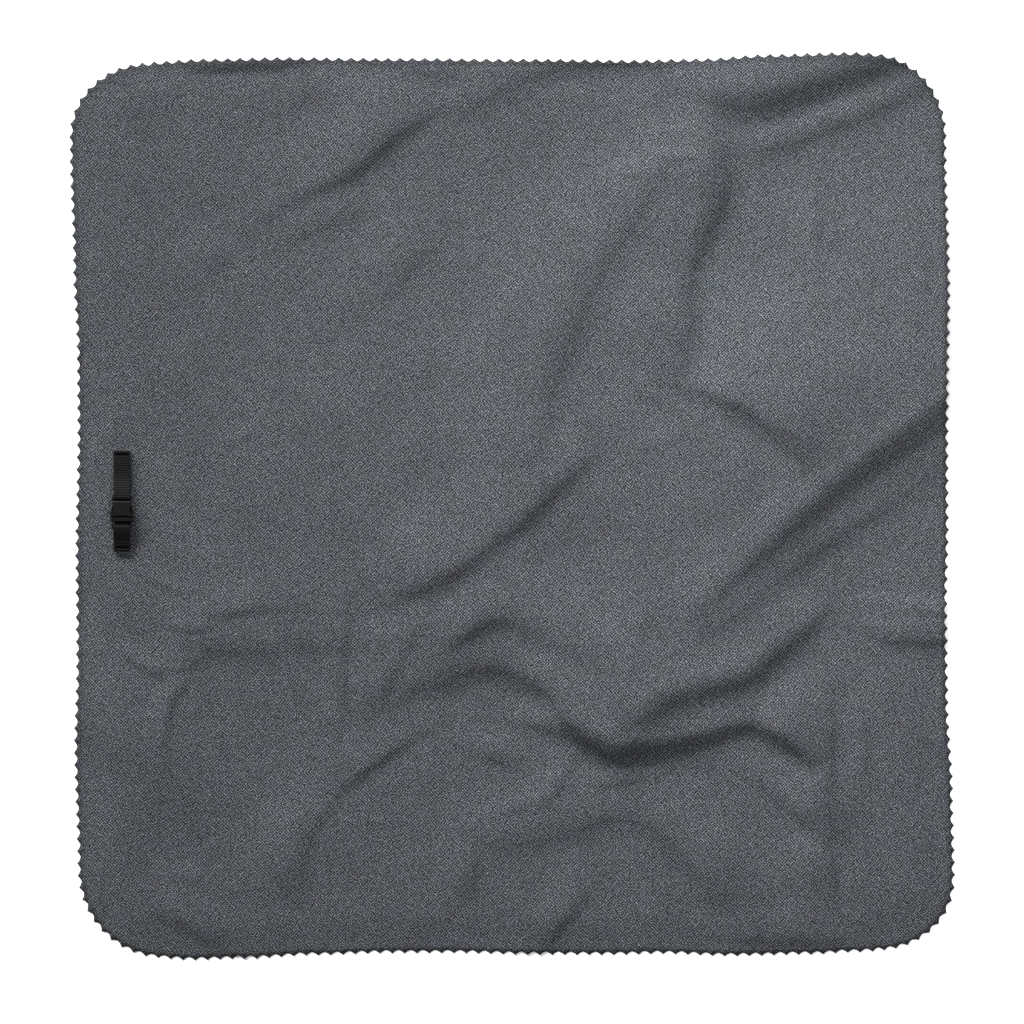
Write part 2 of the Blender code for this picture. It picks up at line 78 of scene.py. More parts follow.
# ---- cloth outline -----------------------------------------------------------
HALF_WIDTH = 382.0           # middle of the cloth to the middle of the pinking, in X
HALF_LENGTH = 392.0          # the same in Y
CORNER_RADIUS = {"bottom_right": 64.0, "top_right": 67.0, "top_left": 66.0, "bottom_left": 75.0}
TOOTH_COUNT = 276            # pinked teeth round the whole cloth
TOOTH_POINTS = 12            # rim points to each tooth
TOP_CELLS = 270              # mesh cells along each side of the top surface
UNDER_CELLS = 90             # and of the underside
NO_RING = 1e-9               # stands for 0 at the grid's middle, which has no way round
CORNER_POINTS = 56           # rim points from the mesh's first corner to the right side's foot
TOOTH_STRAIGHT = 0.35        # share of a tooth's flank that is straight; the rest curves
RIM_STRIP = 4.0              # between the grid's outer ring and the middle of the pinking
RIM_ROUND = 0.22             # how far the cut edge rounds in at its top and bottom
RIM_THICKNESS = 0.28         # the knit is pressed thin where it is cut
RIM_TAPER = 34.0             # and comes up to its full thickness this far in
RIM_SHADE = 0.35             # darkness of the ring next to the cut edge, in that edge's; partly painted shade
CLOTH_FILL = 0.962           # share of its box in plan that the cloth fills

# How far each side bows out from its straight line, by place along that side.
EdgeStation = namedtuple("EdgeStation", "along out")
SIDE_BOW = {
    "right": (EdgeStation(-319, 5.0), EdgeStation(-249, 3.4), EdgeStation(-170, -0.6),
              EdgeStation(-91, -1.7), EdgeStation(-20, -0.2), EdgeStation(102, -0.7),
              EdgeStation(191, 0.6), EdgeStation(313, -2.1)),
    "top": (EdgeStation(-335, -3.8), EdgeStation(-265, -0.5), EdgeStation(-195, 0.8),
            EdgeStation(-90, 0.0), EdgeStation(16, -0.8), EdgeStation(103, -1.6),
            EdgeStation(165, -0.5), EdgeStation(226, 2.8), EdgeStation(296, 4.5),
            EdgeStation(331, 3.5)),
    "left": (EdgeStation(-319, -2.2), EdgeStation(-214, 0.7), EdgeStation(-143, -1.0),
             EdgeStation(-38, -0.2), EdgeStation(67, -1.9), EdgeStation(137, -1.4),
             EdgeStation(207, 1.8), EdgeStation(313, 4.8)),
    "bottom": (EdgeStation(-317, 2.3), EdgeStation(-282, 4.5), EdgeStation(-230, 3.1),
               EdgeStation(-177, 0.3), EdgeStation(-107, -1.6), EdgeStation(-54, -1.7),
               EdgeStation(16, -0.3), EdgeStation(86, 0.0), EdgeStation(130, -1.0),
               EdgeStation(191, 1.0), EdgeStation(261, -0.4), EdgeStation(296, -2.2),
               EdgeStation(331, -3.8)),
}

# ---- folds -------------------------------------------------------------------
# Each row is a place half way down a fold's steep side, which lies to the right of the
# way the rows run: where it is, how high the fold stands, how far its steep side falls
# from crest to foot, and how far its gentle side climbs to the crest.
Slope = namedtuple("Slope", "x y rise fall climb")


def even_slopes(fall, climb, *places):
    """Rows of a crease that is equally wide all along; each place is its x, y and rise."""
    return tuple(Slope(*place, fall, climb) for place in places)


FOLDS = {
    "middle_swell": (
        Slope(-296, -84, 0.0, 170, 260), Slope(-205, -80, 2.5, 175, 280),
        Slope(-110, -76, 4.2, 180, 300), Slope(0, -72, 4.9, 180, 300),
        Slope(110, -62, 4.6, 180, 300), Slope(200, -50, 3.0, 170, 280),
        Slope(290, -35, 0.0, 160, 260)),
    "top_left_band": (
        Slope(-64, 330, 0.0, 27, 22), Slope(-40, 343, 0.9, 28, 22), Slope(-20, 357, 1.3, 32, 24),
        Slope(0, 369, 2.2, 36, 26), Slope(30, 379, 3.0, 37, 28), Slope(70, 386, 3.2, 36, 30),
        Slope(111, 390, 2.6, 32, 30), Slope(150, 396, 1.0, 29, 30)),
    "top_right_lip": (
        Slope(120, 374, 0.0, 30, 100), Slope(140, 367, 1.2, 34, 110),
        Slope(156, 361, 2.7, 40, 110), Slope(170, 356, 4.1, 44, 110),
        Slope(186, 352, 5.1, 46, 120), Slope(212, 350, 6.6, 47, 120),
        Slope(234, 356, 7.4, 42, 120), Slope(273, 368, 7.8, 40, 120),
        Slope(314, 380, 7.8, 40, 120), Slope(356, 392, 6.6, 40, 120)),
    "top_right_echo": (
        Slope(198, 305, 0.0, 24, 18), Slope(214, 309, 1.2, 26, 18), Slope(241, 314, 1.8, 26, 18),
        Slope(273, 327, 2.1, 25, 18), Slope(314, 343, 2.2, 24, 18), Slope(354, 362, 2.0, 24, 18),
        Slope(394, 377, 1.8, 24, 18)),
    "upper_left_wave": (
        Slope(-237, 238, 0.0, 20, 52), Slope(-209, 256, 0.8, 21, 55),
        Slope(-185, 270, 1.6, 22, 57), Slope(-165, 279, 2.3, 23, 60),
        Slope(-145, 287, 3.1, 24, 62), Slope(-124, 302, 3.2, 24, 62),
        Slope(-104, 320, 3.0, 24, 60), Slope(-84, 334, 2.1, 23, 57),
        Slope(-55, 353, 0.0, 20, 52)),
    "upper_left_echo": (
        Slope(-217, 219, 0.0, 28, 44), Slope(-185, 236, 1.21, 31, 44),
        Slope(-157, 248, 1.43, 31, 44), Slope(-122, 259, 0.0, 28, 44)),
    "upper_left_foot": (
        Slope(-282, 185, 0.0, 26, 39), Slope(-256, 212, 0.9, 29, 39),
        Slope(-232, 235, 0.0, 26, 39)),
    "upper_middle_fade": (
        Slope(-138, 163, 0.0, 36, 52), Slope(-104, 189, 1.43, 36, 52),
        Slope(-80, 218, 1.6, 36, 52), Slope(-64, 234, 0.0, 34, 52)),
    "middle_wave": (
        Slope(-126, -95, 0.0, 25, 60), Slope(-96, -81, 1.9, 27, 66), Slope(-67, -70, 4.2, 31, 76),
        Slope(-43, -56, 4.0, 27, 80), Slope(-15, -34, 3.2, 25, 80), Slope(16, -11, 3.8, 25, 72),
        Slope(38, 12, 3.5, 25, 60), Slope(64, 36, 1.8, 22, 53), Slope(78, 50, 0.0, 22, 48)),
    "middle_echo": (
        Slope(-42, -73, 0.0, 25, 44), Slope(-11, -55, 0.9, 28, 44), Slope(30, -35, 0.8, 28, 44),
        Slope(50, -19, 0.9, 28, 44), Slope(68, -2, 0.0, 25, 44)),
    "right_wave": (
        Slope(150, -106, 0.0, 30, 80), Slope(162, -96, 1.4, 34, 110),
        Slope(188, -72, 3.8, 36, 160), Slope(208, -55, 4.4, 34, 200),
        Slope(233, -32, 5.5, 33, 230), Slope(265, -4, 6.6, 32, 250), Slope(314, 36, 6.9, 30, 260),
        Slope(354, 65, 7.2, 30, 260), Slope(377, 81, 7.4, 30, 260),
        Slope(410, 104, 7.4, 30, 260)),
    "right_echo": (
        Slope(148, -125, 0.0, 31, 60), Slope(164, -116, 1.4, 34, 60),
        Slope(192, -100, 2.1, 34, 60), Slope(216, -80, 2.2, 34, 60), Slope(249, -55, 2.6, 32, 60),
        Slope(289, -27, 2.9, 31, 60), Slope(334, 0, 1.8, 31, 60), Slope(375, 33, 1.4, 31, 60),
        Slope(410, 58, 1.2, 31, 60)),
    "tall_rise": (
        Slope(28, 38, 0.0, 39, 60), Slope(27, 60, 4.0, 39, 80), Slope(34, 92, 3.0, 40, 90),
        Slope(46, 125, 3.4, 41, 95), Slope(58, 157, 4.3, 43, 100), Slope(70, 189, 3.2, 46, 100),
        Slope(95, 230, 4.0, 42, 100), Slope(117, 266, 2.4, 38, 95), Slope(138, 300, 0.8, 36, 80),
        Slope(158, 328, 0.0, 34, 60)),
    "tall_ridge": (
        Slope(152, 104, 0.0, 26, 70), Slope(153, 133, 2.7, 34, 90), Slope(157, 157, 5.0, 35, 110),
        Slope(157, 185, 5.2, 34, 120), Slope(161, 210, 5.0, 34, 120),
        Slope(172, 238, 5.8, 34, 130), Slope(183, 262, 6.0, 36, 135),
        Slope(187, 283, 6.9, 40, 135), Slope(185, 305, 7.2, 40, 130),
        Slope(178, 332, 4.8, 38, 110), Slope(160, 366, 0.0, 32, 80)),
    "dome_hook": (
        Slope(128, 106, 0.0, 24, 80), Slope(150, 102, 1.6, 26, 110), Slope(168, 97, 3.4, 28, 140),
        Slope(186, 90, 5.6, 30, 165), Slope(208, 79, 6.2, 30, 170), Slope(233, 60, 6.0, 28, 160),
        Slope(253, 39, 2.6, 26, 120), Slope(266, 20, 0.0, 22, 70)),
    "small_arch": (
        Slope(-62, -130, 0.0, 20, 48), Slope(-51, -123, 1.3, 20, 54),
        Slope(-35, -112, 2.7, 21, 64), Slope(-19, -104, 3.1, 25, 64),
        Slope(-3, -104, 2.6, 27, 64), Slope(14, -111, 2.3, 28, 58), Slope(42, -124, 1.9, 25, 48),
        Slope(66, -137, 0.9, 25, 45), Slope(80, -148, 0.0, 25, 42)),
    "long_arch": (
        Slope(-98, -170, 0.0, 28, 60), Slope(-80, -161, 2.4, 38, 90),
        Slope(-63, -157, 3.6, 44, 110), Slope(-43, -148, 4.2, 42, 120),
        Slope(-23, -145, 3.8, 31, 130), Slope(-3, -148, 3.8, 30, 140),
        Slope(14, -156, 5.8, 30, 140), Slope(30, -167, 7.6, 30, 150),
        Slope(46, -188, 8.4, 28, 160), Slope(66, -206, 9.2, 28, 170),
        Slope(88, -218, 9.8, 28, 170), Slope(111, -215, 8.4, 26, 150),
        Slope(151, -209, 5.4, 22, 110), Slope(184, -200, 4.6, 21, 80),
        Slope(208, -195, 4.0, 20, 80), Slope(231, -204, 7.0, 22, 80),
        Slope(256, -222, 3.6, 17, 50), Slope(264, -230, 0.0, 16, 40)),
    "arch_branch": (
        Slope(0, -189, 0.0, 12, 22), Slope(22, -194, 1.6, 15, 24), Slope(42, -200, 1.8, 16, 26),
        Slope(58, -207, 1.2, 14, 26), Slope(72, -214, 0.0, 12, 24)),
    "ridge_over": (
        Slope(100, -195, 0.0, 32, 100), Slope(119, -185, 3.8, 37, 130),
        Slope(144, -171, 6.0, 38, 150), Slope(178, -161, 6.2, 35, 160),
        Slope(206, -153, 6.6, 34, 160), Slope(234, -131, 6.0, 32, 160),
        Slope(258, -111, 3.7, 29, 130), Slope(274, -94, 1.8, 26, 90),
        Slope(286, -81, 0.0, 24, 60)),
    "right_edge_ripple": (
        Slope(306, -109, 0.0, 20, 32), Slope(318, -114, 1.5, 22, 35),
        Slope(338, -120, 2.5, 26, 38), Slope(375, -121, 2.5, 26, 38),
        Slope(410, -120, 2.5, 26, 38)),
    "lower_left_arc": (
        Slope(-188, -354, 0.0, 34, 50), Slope(-184, -325, 2.0, 34, 50),
        Slope(-181, -311, 2.2, 32, 50), Slope(-173, -286, 1.8, 29, 50),
        Slope(-161, -269, 1.0, 22, 50), Slope(-147, -250, 0.9, 17, 50),
        Slope(-128, -234, 1.6, 14, 50), Slope(-104, -217, 1.4, 14, 50),
        Slope(-80, -201, 0.7, 13, 44), Slope(-55, -185, 0.0, 12, 40)),
    "foot_right_upright": (
        Slope(286, -364, 0.0, 26, 40), Slope(284, -337, 1.6, 28, 44),
        Slope(281, -311, 3.0, 30, 46), Slope(276, -292, 2.4, 28, 44),
        Slope(266, -276, 0.0, 24, 40)),
    "bottom_arch": (
        Slope(-30, -301, 0.0, 36, 48), Slope(-11, -298, 1.6, 36, 54),
        Slope(22, -295, 1.8, 34, 58), Slope(54, -287, 1.9, 34, 61), Slope(87, -276, 2.2, 34, 61),
        Slope(111, -281, 2.6, 34, 61), Slope(135, -298, 2.8, 34, 58),
        Slope(157, -319, 3.8, 34, 54), Slope(174, -342, 2.9, 34, 48),
        Slope(192, -356, 1.4, 31, 45), Slope(202, -370, 0.0, 28, 42)),
    "foot_right_arc": (
        Slope(186, -222, 0.0, 22, 60), Slope(206, -234, 0.9, 24, 60),
        Slope(222, -247, 2.0, 24, 60), Slope(236, -260, 3.0, 26, 60),
        Slope(251, -273, 3.9, 28, 60), Slope(266, -286, 2.8, 26, 56),
        Slope(280, -298, 0.0, 24, 44)),
}
FOLD_STEPS = 60              # places worked out along each fold
FOLD_BLEND = 3.0             # over which one stretch of a fold hands over to the next
FOLD_REACH = 1.5             # how far round its line a fold is worked out, in widest sides

# Small creases left by packing and by the cut edges.
CREASES = {
    "top_edge_curl": even_slopes(
        12, 30, (-292, 387, 0.0), (-270, 384, 1.43), (-235, 385, 1.9), (-200, 386, 1.43),
        (-178, 389, 0.0)),
    "top_edge_swell": (
        Slope(-114, 386, 0.0, 24, 30), Slope(-80, 379, 1.7, 26, 30), Slope(-45, 375, 1.7, 26, 30),
        Slope(-18, 376, 0.0, 24, 30)),
    "dome_upper_nick": even_slopes(
        7, 9, (129, 305, 0.0), (148, 304, 0.9), (166, 304, 0.0)),
    "dome_top_nick": even_slopes(
        8, 10, (108, 323, 0.0), (136, 325, 0.7), (166, 329, 0.0)),
    "right_drop": (
        Slope(283, 168, 0.0, 12, 24), Slope(271, 210, 1.1, 12, 26), Slope(269, 238, 1.2, 12, 26),
        Slope(265, 282, 0.0, 12, 24)),
    "right_drop_foot": even_slopes(
        10, 16, (270, 106, 0.0), (257, 138, 0.9), (247, 165, 0.9), (241, 192, 0.0)),
    "rise_foot_nick": even_slopes(
        10, 12, (96, 114, 0.0), (112, 101, 0.9), (124, 91, 0.9), (133, 84, 0.0)),
    "rise_foot_line": even_slopes(
        12, 14, (96, 46, 0.0), (123, 51, 0.5), (153, 58, 0.0)),
    "long_pack_line": even_slopes(
        8, 34, (-326, -91, 0.0), (-286, -93, 0.3), (-258, -96, 0.5), (-244, -95, 0.9),
        (-225, -92, 0.85), (-204, -91, 0.5), (-169, -91, 0.4), (-140, -93, 0.25),
        (-124, -94, 0.0)),
    "upper_pack_nick": even_slopes(
        7, 28, (-322, -100, 0.0), (-300, -106, 0.55), (-280, -110, 0.85), (-266, -107, 0.7),
        (-255, -101, 0.0)),
    "lower_pack_line": (
        Slope(-320, -112, 0.0, 30, 80), Slope(-290, -121, 1.2, 34, 90),
        Slope(-250, -128, 1.9, 36, 100), Slope(-217, -130, 1.7, 38, 100),
        Slope(-185, -126, 1.6, 38, 100), Slope(-144, -124, 1.4, 34, 90),
        Slope(-104, -119, 0.8, 28, 80), Slope(-86, -114, 0.0, 24, 70)),
    "lower_pack_end": (
        Slope(-324, -140, 0.0, 13, 30), Slope(-305, -144, 0.84, 15, 30),
        Slope(-292, -144, 0.91, 15, 30), Slope(-274, -136, 0.7, 15, 30),
        Slope(-260, -131, 0.0, 13, 30)),
    "left_slant": even_slopes(
        7, 13, (-347, -126, 0.0), (-335, -134, 1.1), (-321, -145, 1.21), (-309, -153, 0.0)),
    "strap_slant": even_slopes(
        10, 12, (-331, -49, 0.0), (-315, -67, 0.9), (-294, -76, 0.6), (-282, -81, 0.0)),
    "left_drop": even_slopes(
        9, 19, (-302, -244, 0.0), (-302, -205, 1.1), (-298, -177, 1.2), (-288, -160, 1.0),
        (-280, -145, 0.0)),
    "pack_cross": even_slopes(
        8, 25, (-141, -198, 0.0), (-161, -177, 0.96), (-185, -144, 1.2), (-207, -115, 0.72),
        (-213, -108, 0.0)),
    "pack_upright": even_slopes(
        9, 25, (-146, -192, 0.0), (-146, -160, 0.96), (-145, -130, 1.08), (-145, -95, 0.72),
        (-145, -68, 0.0)),
    "middle_slant": (
        Slope(-123, -190, 0.0, 18, 44), Slope(-112, -165, 1.0, 20, 48),
        Slope(-98, -138, 1.3, 20, 48), Slope(-84, -113, 1.0, 18, 44),
        Slope(-74, -97, 0.0, 18, 40)),
    "arch_end_dip": (
        Slope(-136, -188, 0.0, 36, 56), Slope(-114, -180, 1.4, 42, 60),
        Slope(-98, -172, 1.6, 44, 60), Slope(-82, -160, 0.8, 40, 60),
        Slope(-70, -150, 0.0, 34, 50)),
    "arch_foot_dash": (
        Slope(-38, -214, 0.0, 17, 23), Slope(-25, -219, 1.5, 18, 23),
        Slope(-10, -225, 1.5, 18, 23), Slope(3, -231, 0.0, 17, 23)),
    "arc_foot_line": even_slopes(
        6, 8, (-152, -278, 0.0), (-120, -279, 0.3), (-86, -280, 0.0)),
    "foot_dash": (
        Slope(70, -247, 0.0, 11, 22), Slope(84, -245, 1.1, 12, 22), Slope(104, -242, 1.1, 12, 22),
        Slope(116, -240, 0.0, 11, 22)),
    "foot_hook": (
        Slope(22, -268, 0.0, 11, 22), Slope(38, -254, 1.0, 12, 22), Slope(48, -238, 1.1, 12, 22),
        Slope(56, -222, 0.0, 11, 22)),
    "foot_short": (
        Slope(-14, -275, 0.0, 8, 10), Slope(8, -265, 0.7, 9, 10), Slope(28, -257, 0.0, 8, 10)),
    "foot_slant": even_slopes(
        18, 36, (27, -396, 0.2), (34, -384, 0.9), (43, -370, 1.6), (62, -347, 1.2),
        (71, -337, 0.0)),
    "foot_edge_curl": even_slopes(
        16, 31, (178, -377, 0.0), (200, -381, 1.0), (240, -383, 1.1), (280, -383, 0.8),
        (298, -382, 0.0)),
    "foot_soft_drop": even_slopes(
        24, 30, (-34, -350, 0.0), (-33, -322, 1.8), (-30, -294, 0.0)),
    "right_foot_drop": even_slopes(
        12, 24, (281, -260, 0.0), (281, -230, 1.4), (280, -195, 1.4), (279, -163, 0.0)),
    "right_far_drop": even_slopes(
        12, 22, (314, -260, 0.0), (313, -225, 1.2), (310, -190, 1.2), (309, -172, 0.0)),
    "right_edge_line": even_slopes(
        12, 14, (306, -89, 0.0), (338, -91, 0.8), (375, -94, 0.9), (410, -95, 0.9)),
    "corner_bound": (
        Slope(-412, -196, 2.0, 50, 100), Slope(-376, -206, 2.4, 50, 100),
        Slope(-352, -224, 2.6, 50, 100), Slope(-343, -247, 2.2, 50, 90),
        Slope(-350, -278, 1.0, 46, 60), Slope(-358, -304, 0.0, 40, 50)),
    "corner_upper": even_slopes(
        9, 12, (-314, -331, 0.0), (-290, -327, 0.7), (-260, -332, 0.0)),
    "corner_lower": (
        Slope(-322, -350, 0.0, 16, 30), Slope(-303, -360, 1.2, 17, 30),
        Slope(-274, -379, 1.2, 20, 30), Slope(-248, -392, 0.3, 20, 30)),
    "high_left": even_slopes(
        8, 10, (-250, 49, 0.0), (-232, 60, 0.7), (-214, 70, 0.0)),
}

# The cloth never lies quite flat: long low waves, given as wavelengths and one height.
RIPPLE_COUNT = 26
RIPPLE_SHORTEST = 46.0
RIPPLE_LONGEST = 170.0
RIPPLE_HEIGHT = 0.55
RIPPLE_SPREAD = 0.25         # typical swing up or down, as a share of that height
RIPPLE_SEED = 7
SEAT_CLEAR = 14.0            # the ripples die out this far round the strap
SMOOTHING_PASSES = 1         # over the top surface, to take the sharpness off its crests
UNDER_STRAP_IN = 5.0         # painted shade on the knit from this far in under the strap
UNDER_STRAP_PAINTED_SHADE = 1.5      # darkness of that painted shade, in the cut edge's

# ---- strap -------------------------------------------------------------------
BUCKLE_HALVES = ("buckle_socket", "buckle_plug")
SEAT_GAP = 0.3               # between neighbouring pieces
SEWN_GAP = 0.3               # between the two layers at a sewn end
BAR_RADIUS = 1.0
SLOPE_LENGTH = 22.0          # over which the top layer comes down from the bar
SLOPE_SHARE = 0.8            # and the most of a short loop's length that it takes
BAR_STEPS = 60               # places worked out round the bar, and on the way down from it
END_STEPS = 30               # and round the sewn end
WEBBING_STEP = 0.24          # between rings of the webbing's mesh
FACE_POINTS = 44             # mesh points across one face of the webbing
EDGE_POINTS = 5              # and round each of its edges
SELVEDGE = 1.1               # the plain edge outside the ribs
SOFT_EDGE = 0.5              # over which the ribs and the stitching's pull die out
RIB_POWER = 0.7              # the lower, the broader the ribs and the narrower the grooves
RIB_NUDGE = 0.13             # how far the ribs wander to and fro, in ribs
RIB_NUDGE_PITCH = 2.4        # across the webbing, from one wander to the next
HEM_RIBS = 3                 # bumps of the plain edge to each rib
HEM_SHARE = 0.45             # their depth beside a rib's
# Which way a loop runs from its bar, where the bar is, how far in from its sewn end the
# middle of the stitching is, and how long the stitches are.
Loop = namedtuple("Loop", "way bar_y tack_in tack_length")
LOOPS = {"webbing_upper": Loop(1.0, 7.4, 2.0, 2.6), "webbing_lower": Loop(-1.0, -17.8, 2.8, 3.8)}
TACK_SINK = 0.22             # how far the bar of stitching pulls the webbing down
TACK_FLATTEN = 0.6           # share of a rib's depth that it presses flat
THREAD_RADIUS = 0.19
THREAD_TIP = 0.02            # radius left at a stitch's two ends
THREAD_BLUNTNESS = 6         # the higher, the further the thread keeps its full thickness
THREAD_SIDES = 6
THREAD_RINGS = 7
STITCH_PITCH = 0.47
STITCH_ARCH = 0.16           # how far a stitch's middle stands over its ends
STITCH_SLANT = 0.16          # each stitch crosses by this much, left and right in turn

# ---- knit, in cells of noise to a stroke -------------------------------------
WANDER_CELLS = 0.6           # across the strokes, of what their phase wanders with
STRENGTH_CELLS = 1.4         # along the strokes, of what makes them strong or faint
SPECK_CELLS = 2.2            # of the specks between them
STROKE_WANDER = 8.5          # radians that a stroke's phase wanders
STROKE_STRENGTH = 2.6        # of the strongest strokes
STROKE_FAINT = 0.4           # taken off every stroke, so that some vanish
STROKE_SHARE, SPECK_SHARE = 0.63, 1.6       # of a yarn's brightness
PATCH_EDGE = 5.0             # the higher, the sharper one slant gives way to the other
KNIT_LEVEL = 0.94            # brings the knit's average to its colour
WEAR_SHADE = 0.35            # how much the paler and darker areas differ
RIM_DARKNESS = 0.6           # share of its colour that the cut edge loses, partly painted shade; the painted shade under the strap is scaled by it too
DYE_SPREAD = (0.18, 0.13, 0.20)     # the most that a blotch of dye adds to each channel
DYE_BASE = (0.91, 0.935, 0.90)      # and what it adds to

# ---- grain, in cells of noise to a metre -------------------------------------
PATCH_CELLS = 300.0          # patches of cloth that slant one way
WEAR_CELLS = 24.0            # broad paler and darker areas of it
DYE_CELLS = 60.0             # blotches of a slightly different dye
WARP_CELLS, WEFT_CELLS = 2400.0, 900.0      # threads of the webbing, in X and in Y
FUZZ_CELLS = 260.0           # worn fluff on it
PLY_CELLS, PLY_LENGTH_CELLS = 5200.0, 900.0     # twist of the thread, across and along
SPARK_CELLS = 2600.0         # spark texture of the buckle's mould
RUB_CELLS = 180.0            # places that hands have polished
PAPER_CELLS = 1.5            # cloudiness of the floor

# ---- stage, in metres --------------------------------------------------------
FLOOR_HALF = 12.0            # middle of the floor to each side
FLOOR_GAP = 0.05 * MM        # between the floor and the cloth
AIM = (-0.13 * MM, -4.87 * MM, 0.0)     # what the camera looks down on
SENSOR_WIDTH = 36.0          # in the camera's own millimetres
VIEW_END = 50.0
KEY_FAR = 16.0               # from the cloth to the main light
KEY_WIDTH, KEY_HEIGHT = 12.0, 4.4
FILL_WIDTH = 0.45
FILL_OFF = (0.32, 0.19, 0.0)    # from the cloth's middle to the place that it hangs over
FILL_OVER = (0.0, 0.0, 0.85)    # and up from that place


# ---- settings ----------------------------------------------------------------
class ClothSettings(bpy.types.PropertyGroup):
    """Sizes and colours of the cloth."""
    thickness: FloatProperty(
        name="Thickness", description="Thickness of the knitted cloth", default=1.2 * MM,
        min=0.3 * MM, max=4 * MM, unit="LENGTH", subtype="DISTANCE")
    tooth_depth: FloatProperty(
        name="Tooth depth", description="Height of each pinked tooth, valley to tip",
        default=3.1 * MM, min=0.0, max=8 * MM, unit="LENGTH", subtype="DISTANCE")
    colour: FloatVectorProperty(
        name="Cloth colour", description="Average colour of the heathered knit",
        default=(0.0339, 0.0366, 0.0415), size=3, min=0.0, max=1.0, subtype="COLOR")
    yarn_contrast: FloatProperty(
        name="Yarn contrast", description="Brightness of the light yarns over the dark ones",
        default=24.0, min=1.0, max=60.0)
    stroke_pitch: FloatProperty(
        name="Stroke pitch", description="From one knitted stroke to the next",
        default=1.9 * MM, min=0.3 * MM, max=6 * MM, unit="LENGTH", subtype="DISTANCE")
    stroke_length: FloatProperty(
        name="Stroke length", description="Length of one knitted stroke",
        default=2.2 * MM, min=0.5 * MM, max=20 * MM, unit="LENGTH", subtype="DISTANCE")


class StrapSettings(bpy.types.PropertyGroup):
    """Sizes and colours of the webbing, its stitching and the buckle."""
    thickness: FloatProperty(
        name="Webbing thickness", description="Thickness of one layer of webbing",
        default=1.1 * MM, min=0.4 * MM, max=2 * MM, unit="LENGTH", subtype="DISTANCE")
    rib_pitch: FloatProperty(
        name="Rib pitch", description="From one woven rib to the next",
        default=2.2 * MM, min=0.5 * MM, max=5 * MM, unit="LENGTH", subtype="DISTANCE")
    rib_depth: FloatProperty(
        name="Rib depth", description="How deep the grooves between the ribs are",
        default=0.2 * MM, min=0.0, max=0.4 * MM, unit="LENGTH", subtype="DISTANCE")
    webbing_colour: FloatVectorProperty(
        name="Webbing colour", description="Colour of the woven webbing",
        default=(0.0026, 0.0027, 0.0029), size=3, min=0.0, max=1.0, subtype="COLOR")
    thread_colour: FloatVectorProperty(
        name="Thread colour", description="Colour of the stitching",
        default=(0.0007, 0.0007, 0.0008), size=3, min=0.0, max=1.0, subtype="COLOR")
    buckle_colour: FloatVectorProperty(
        name="Buckle colour", description="Colour of the moulded buckle",
        default=(0.0020, 0.0021, 0.0022), size=3, min=0.0, max=1.0, subtype="COLOR")
    stitch_count: IntProperty(
        name="Stitches", description="Stitches in each bar of stitching", default=26,
        min=4, max=60)


class StageSettings(bpy.types.PropertyGroup):
    """Camera, floor and lights."""
    camera_height: FloatProperty(
        name="Camera height", description="Height of the camera over the cloth", default=4.0,
        min=1.0, max=20.0, unit="LENGTH", subtype="DISTANCE")
    view_width: FloatProperty(
        name="View width", description="Width of the view at the cloth's height",
        default=0.898, min=0.2, max=5.0, unit="LENGTH", subtype="DISTANCE")
    floor_colour: FloatVectorProperty(
        name="Floor colour", description="Colour of the pale floor",
        default=(0.92, 0.92, 0.92), size=3, min=0.0, max=1.0, subtype="COLOR")
    key_azimuth: FloatProperty(
        name="Key azimuth", description="Way to the main light, clockwise from the top edge",
        default=radians(-28), unit="ROTATION", subtype="ANGLE")
    key_elevation: FloatProperty(
        name="Key elevation", description="Height of the main light over the horizon",
        default=radians(13), unit="ROTATION", subtype="ANGLE")
    key_power: FloatProperty(
        name="Key power", description="Power of the main light in watts", default=13500.0,
        min=0.0, max=50000.0)
    fill_power: FloatProperty(
        name="Fill power", description="Power of the light over the cloth in watts",
        default=7.8, min=0.0, max=2000.0)
    sky_strength: FloatProperty(
        name="Sky strength", description="Brightness of the even light all round",
        default=0.12, min=0.0, max=5.0)


# ---- node wiring -------------------------------------------------------------
class Wire:
    """One node output; arithmetic on it adds Math nodes, and [name] picks another output."""

    def __init__(self, finish, socket):
        self.finish, self.socket = finish, socket

    def __getitem__(self, name):
        return Wire(self.finish, self.socket.node.outputs[name])

    def maths(self, operation, first, second=0.0):
        """A Math node on two values."""
        return self.finish.node("ShaderNodeMath", {"operation": operation},
                                {0: first, 1: second})

    def __add__(self, other):
        return self.maths("ADD", self, other)

    def __radd__(self, other):
        return self.maths("ADD", other, self)

    def __sub__(self, other):
        return self.maths("SUBTRACT", self, other)

    def __rsub__(self, other):
        return self.maths("SUBTRACT", other, self)

    def __mul__(self, other):
        return self.maths("MULTIPLY", self, other)

    def __rpow__(self, other):
        return self.maths("POWER", other, self)

    def cosine(self):
        """The cosine of the value in radians."""
        return self.maths("COSINE", self)

    def clamped(self):
        """The value kept between 0 and 1."""
        return self.finish.node("ShaderNodeClamp", {}, {"Value": self})


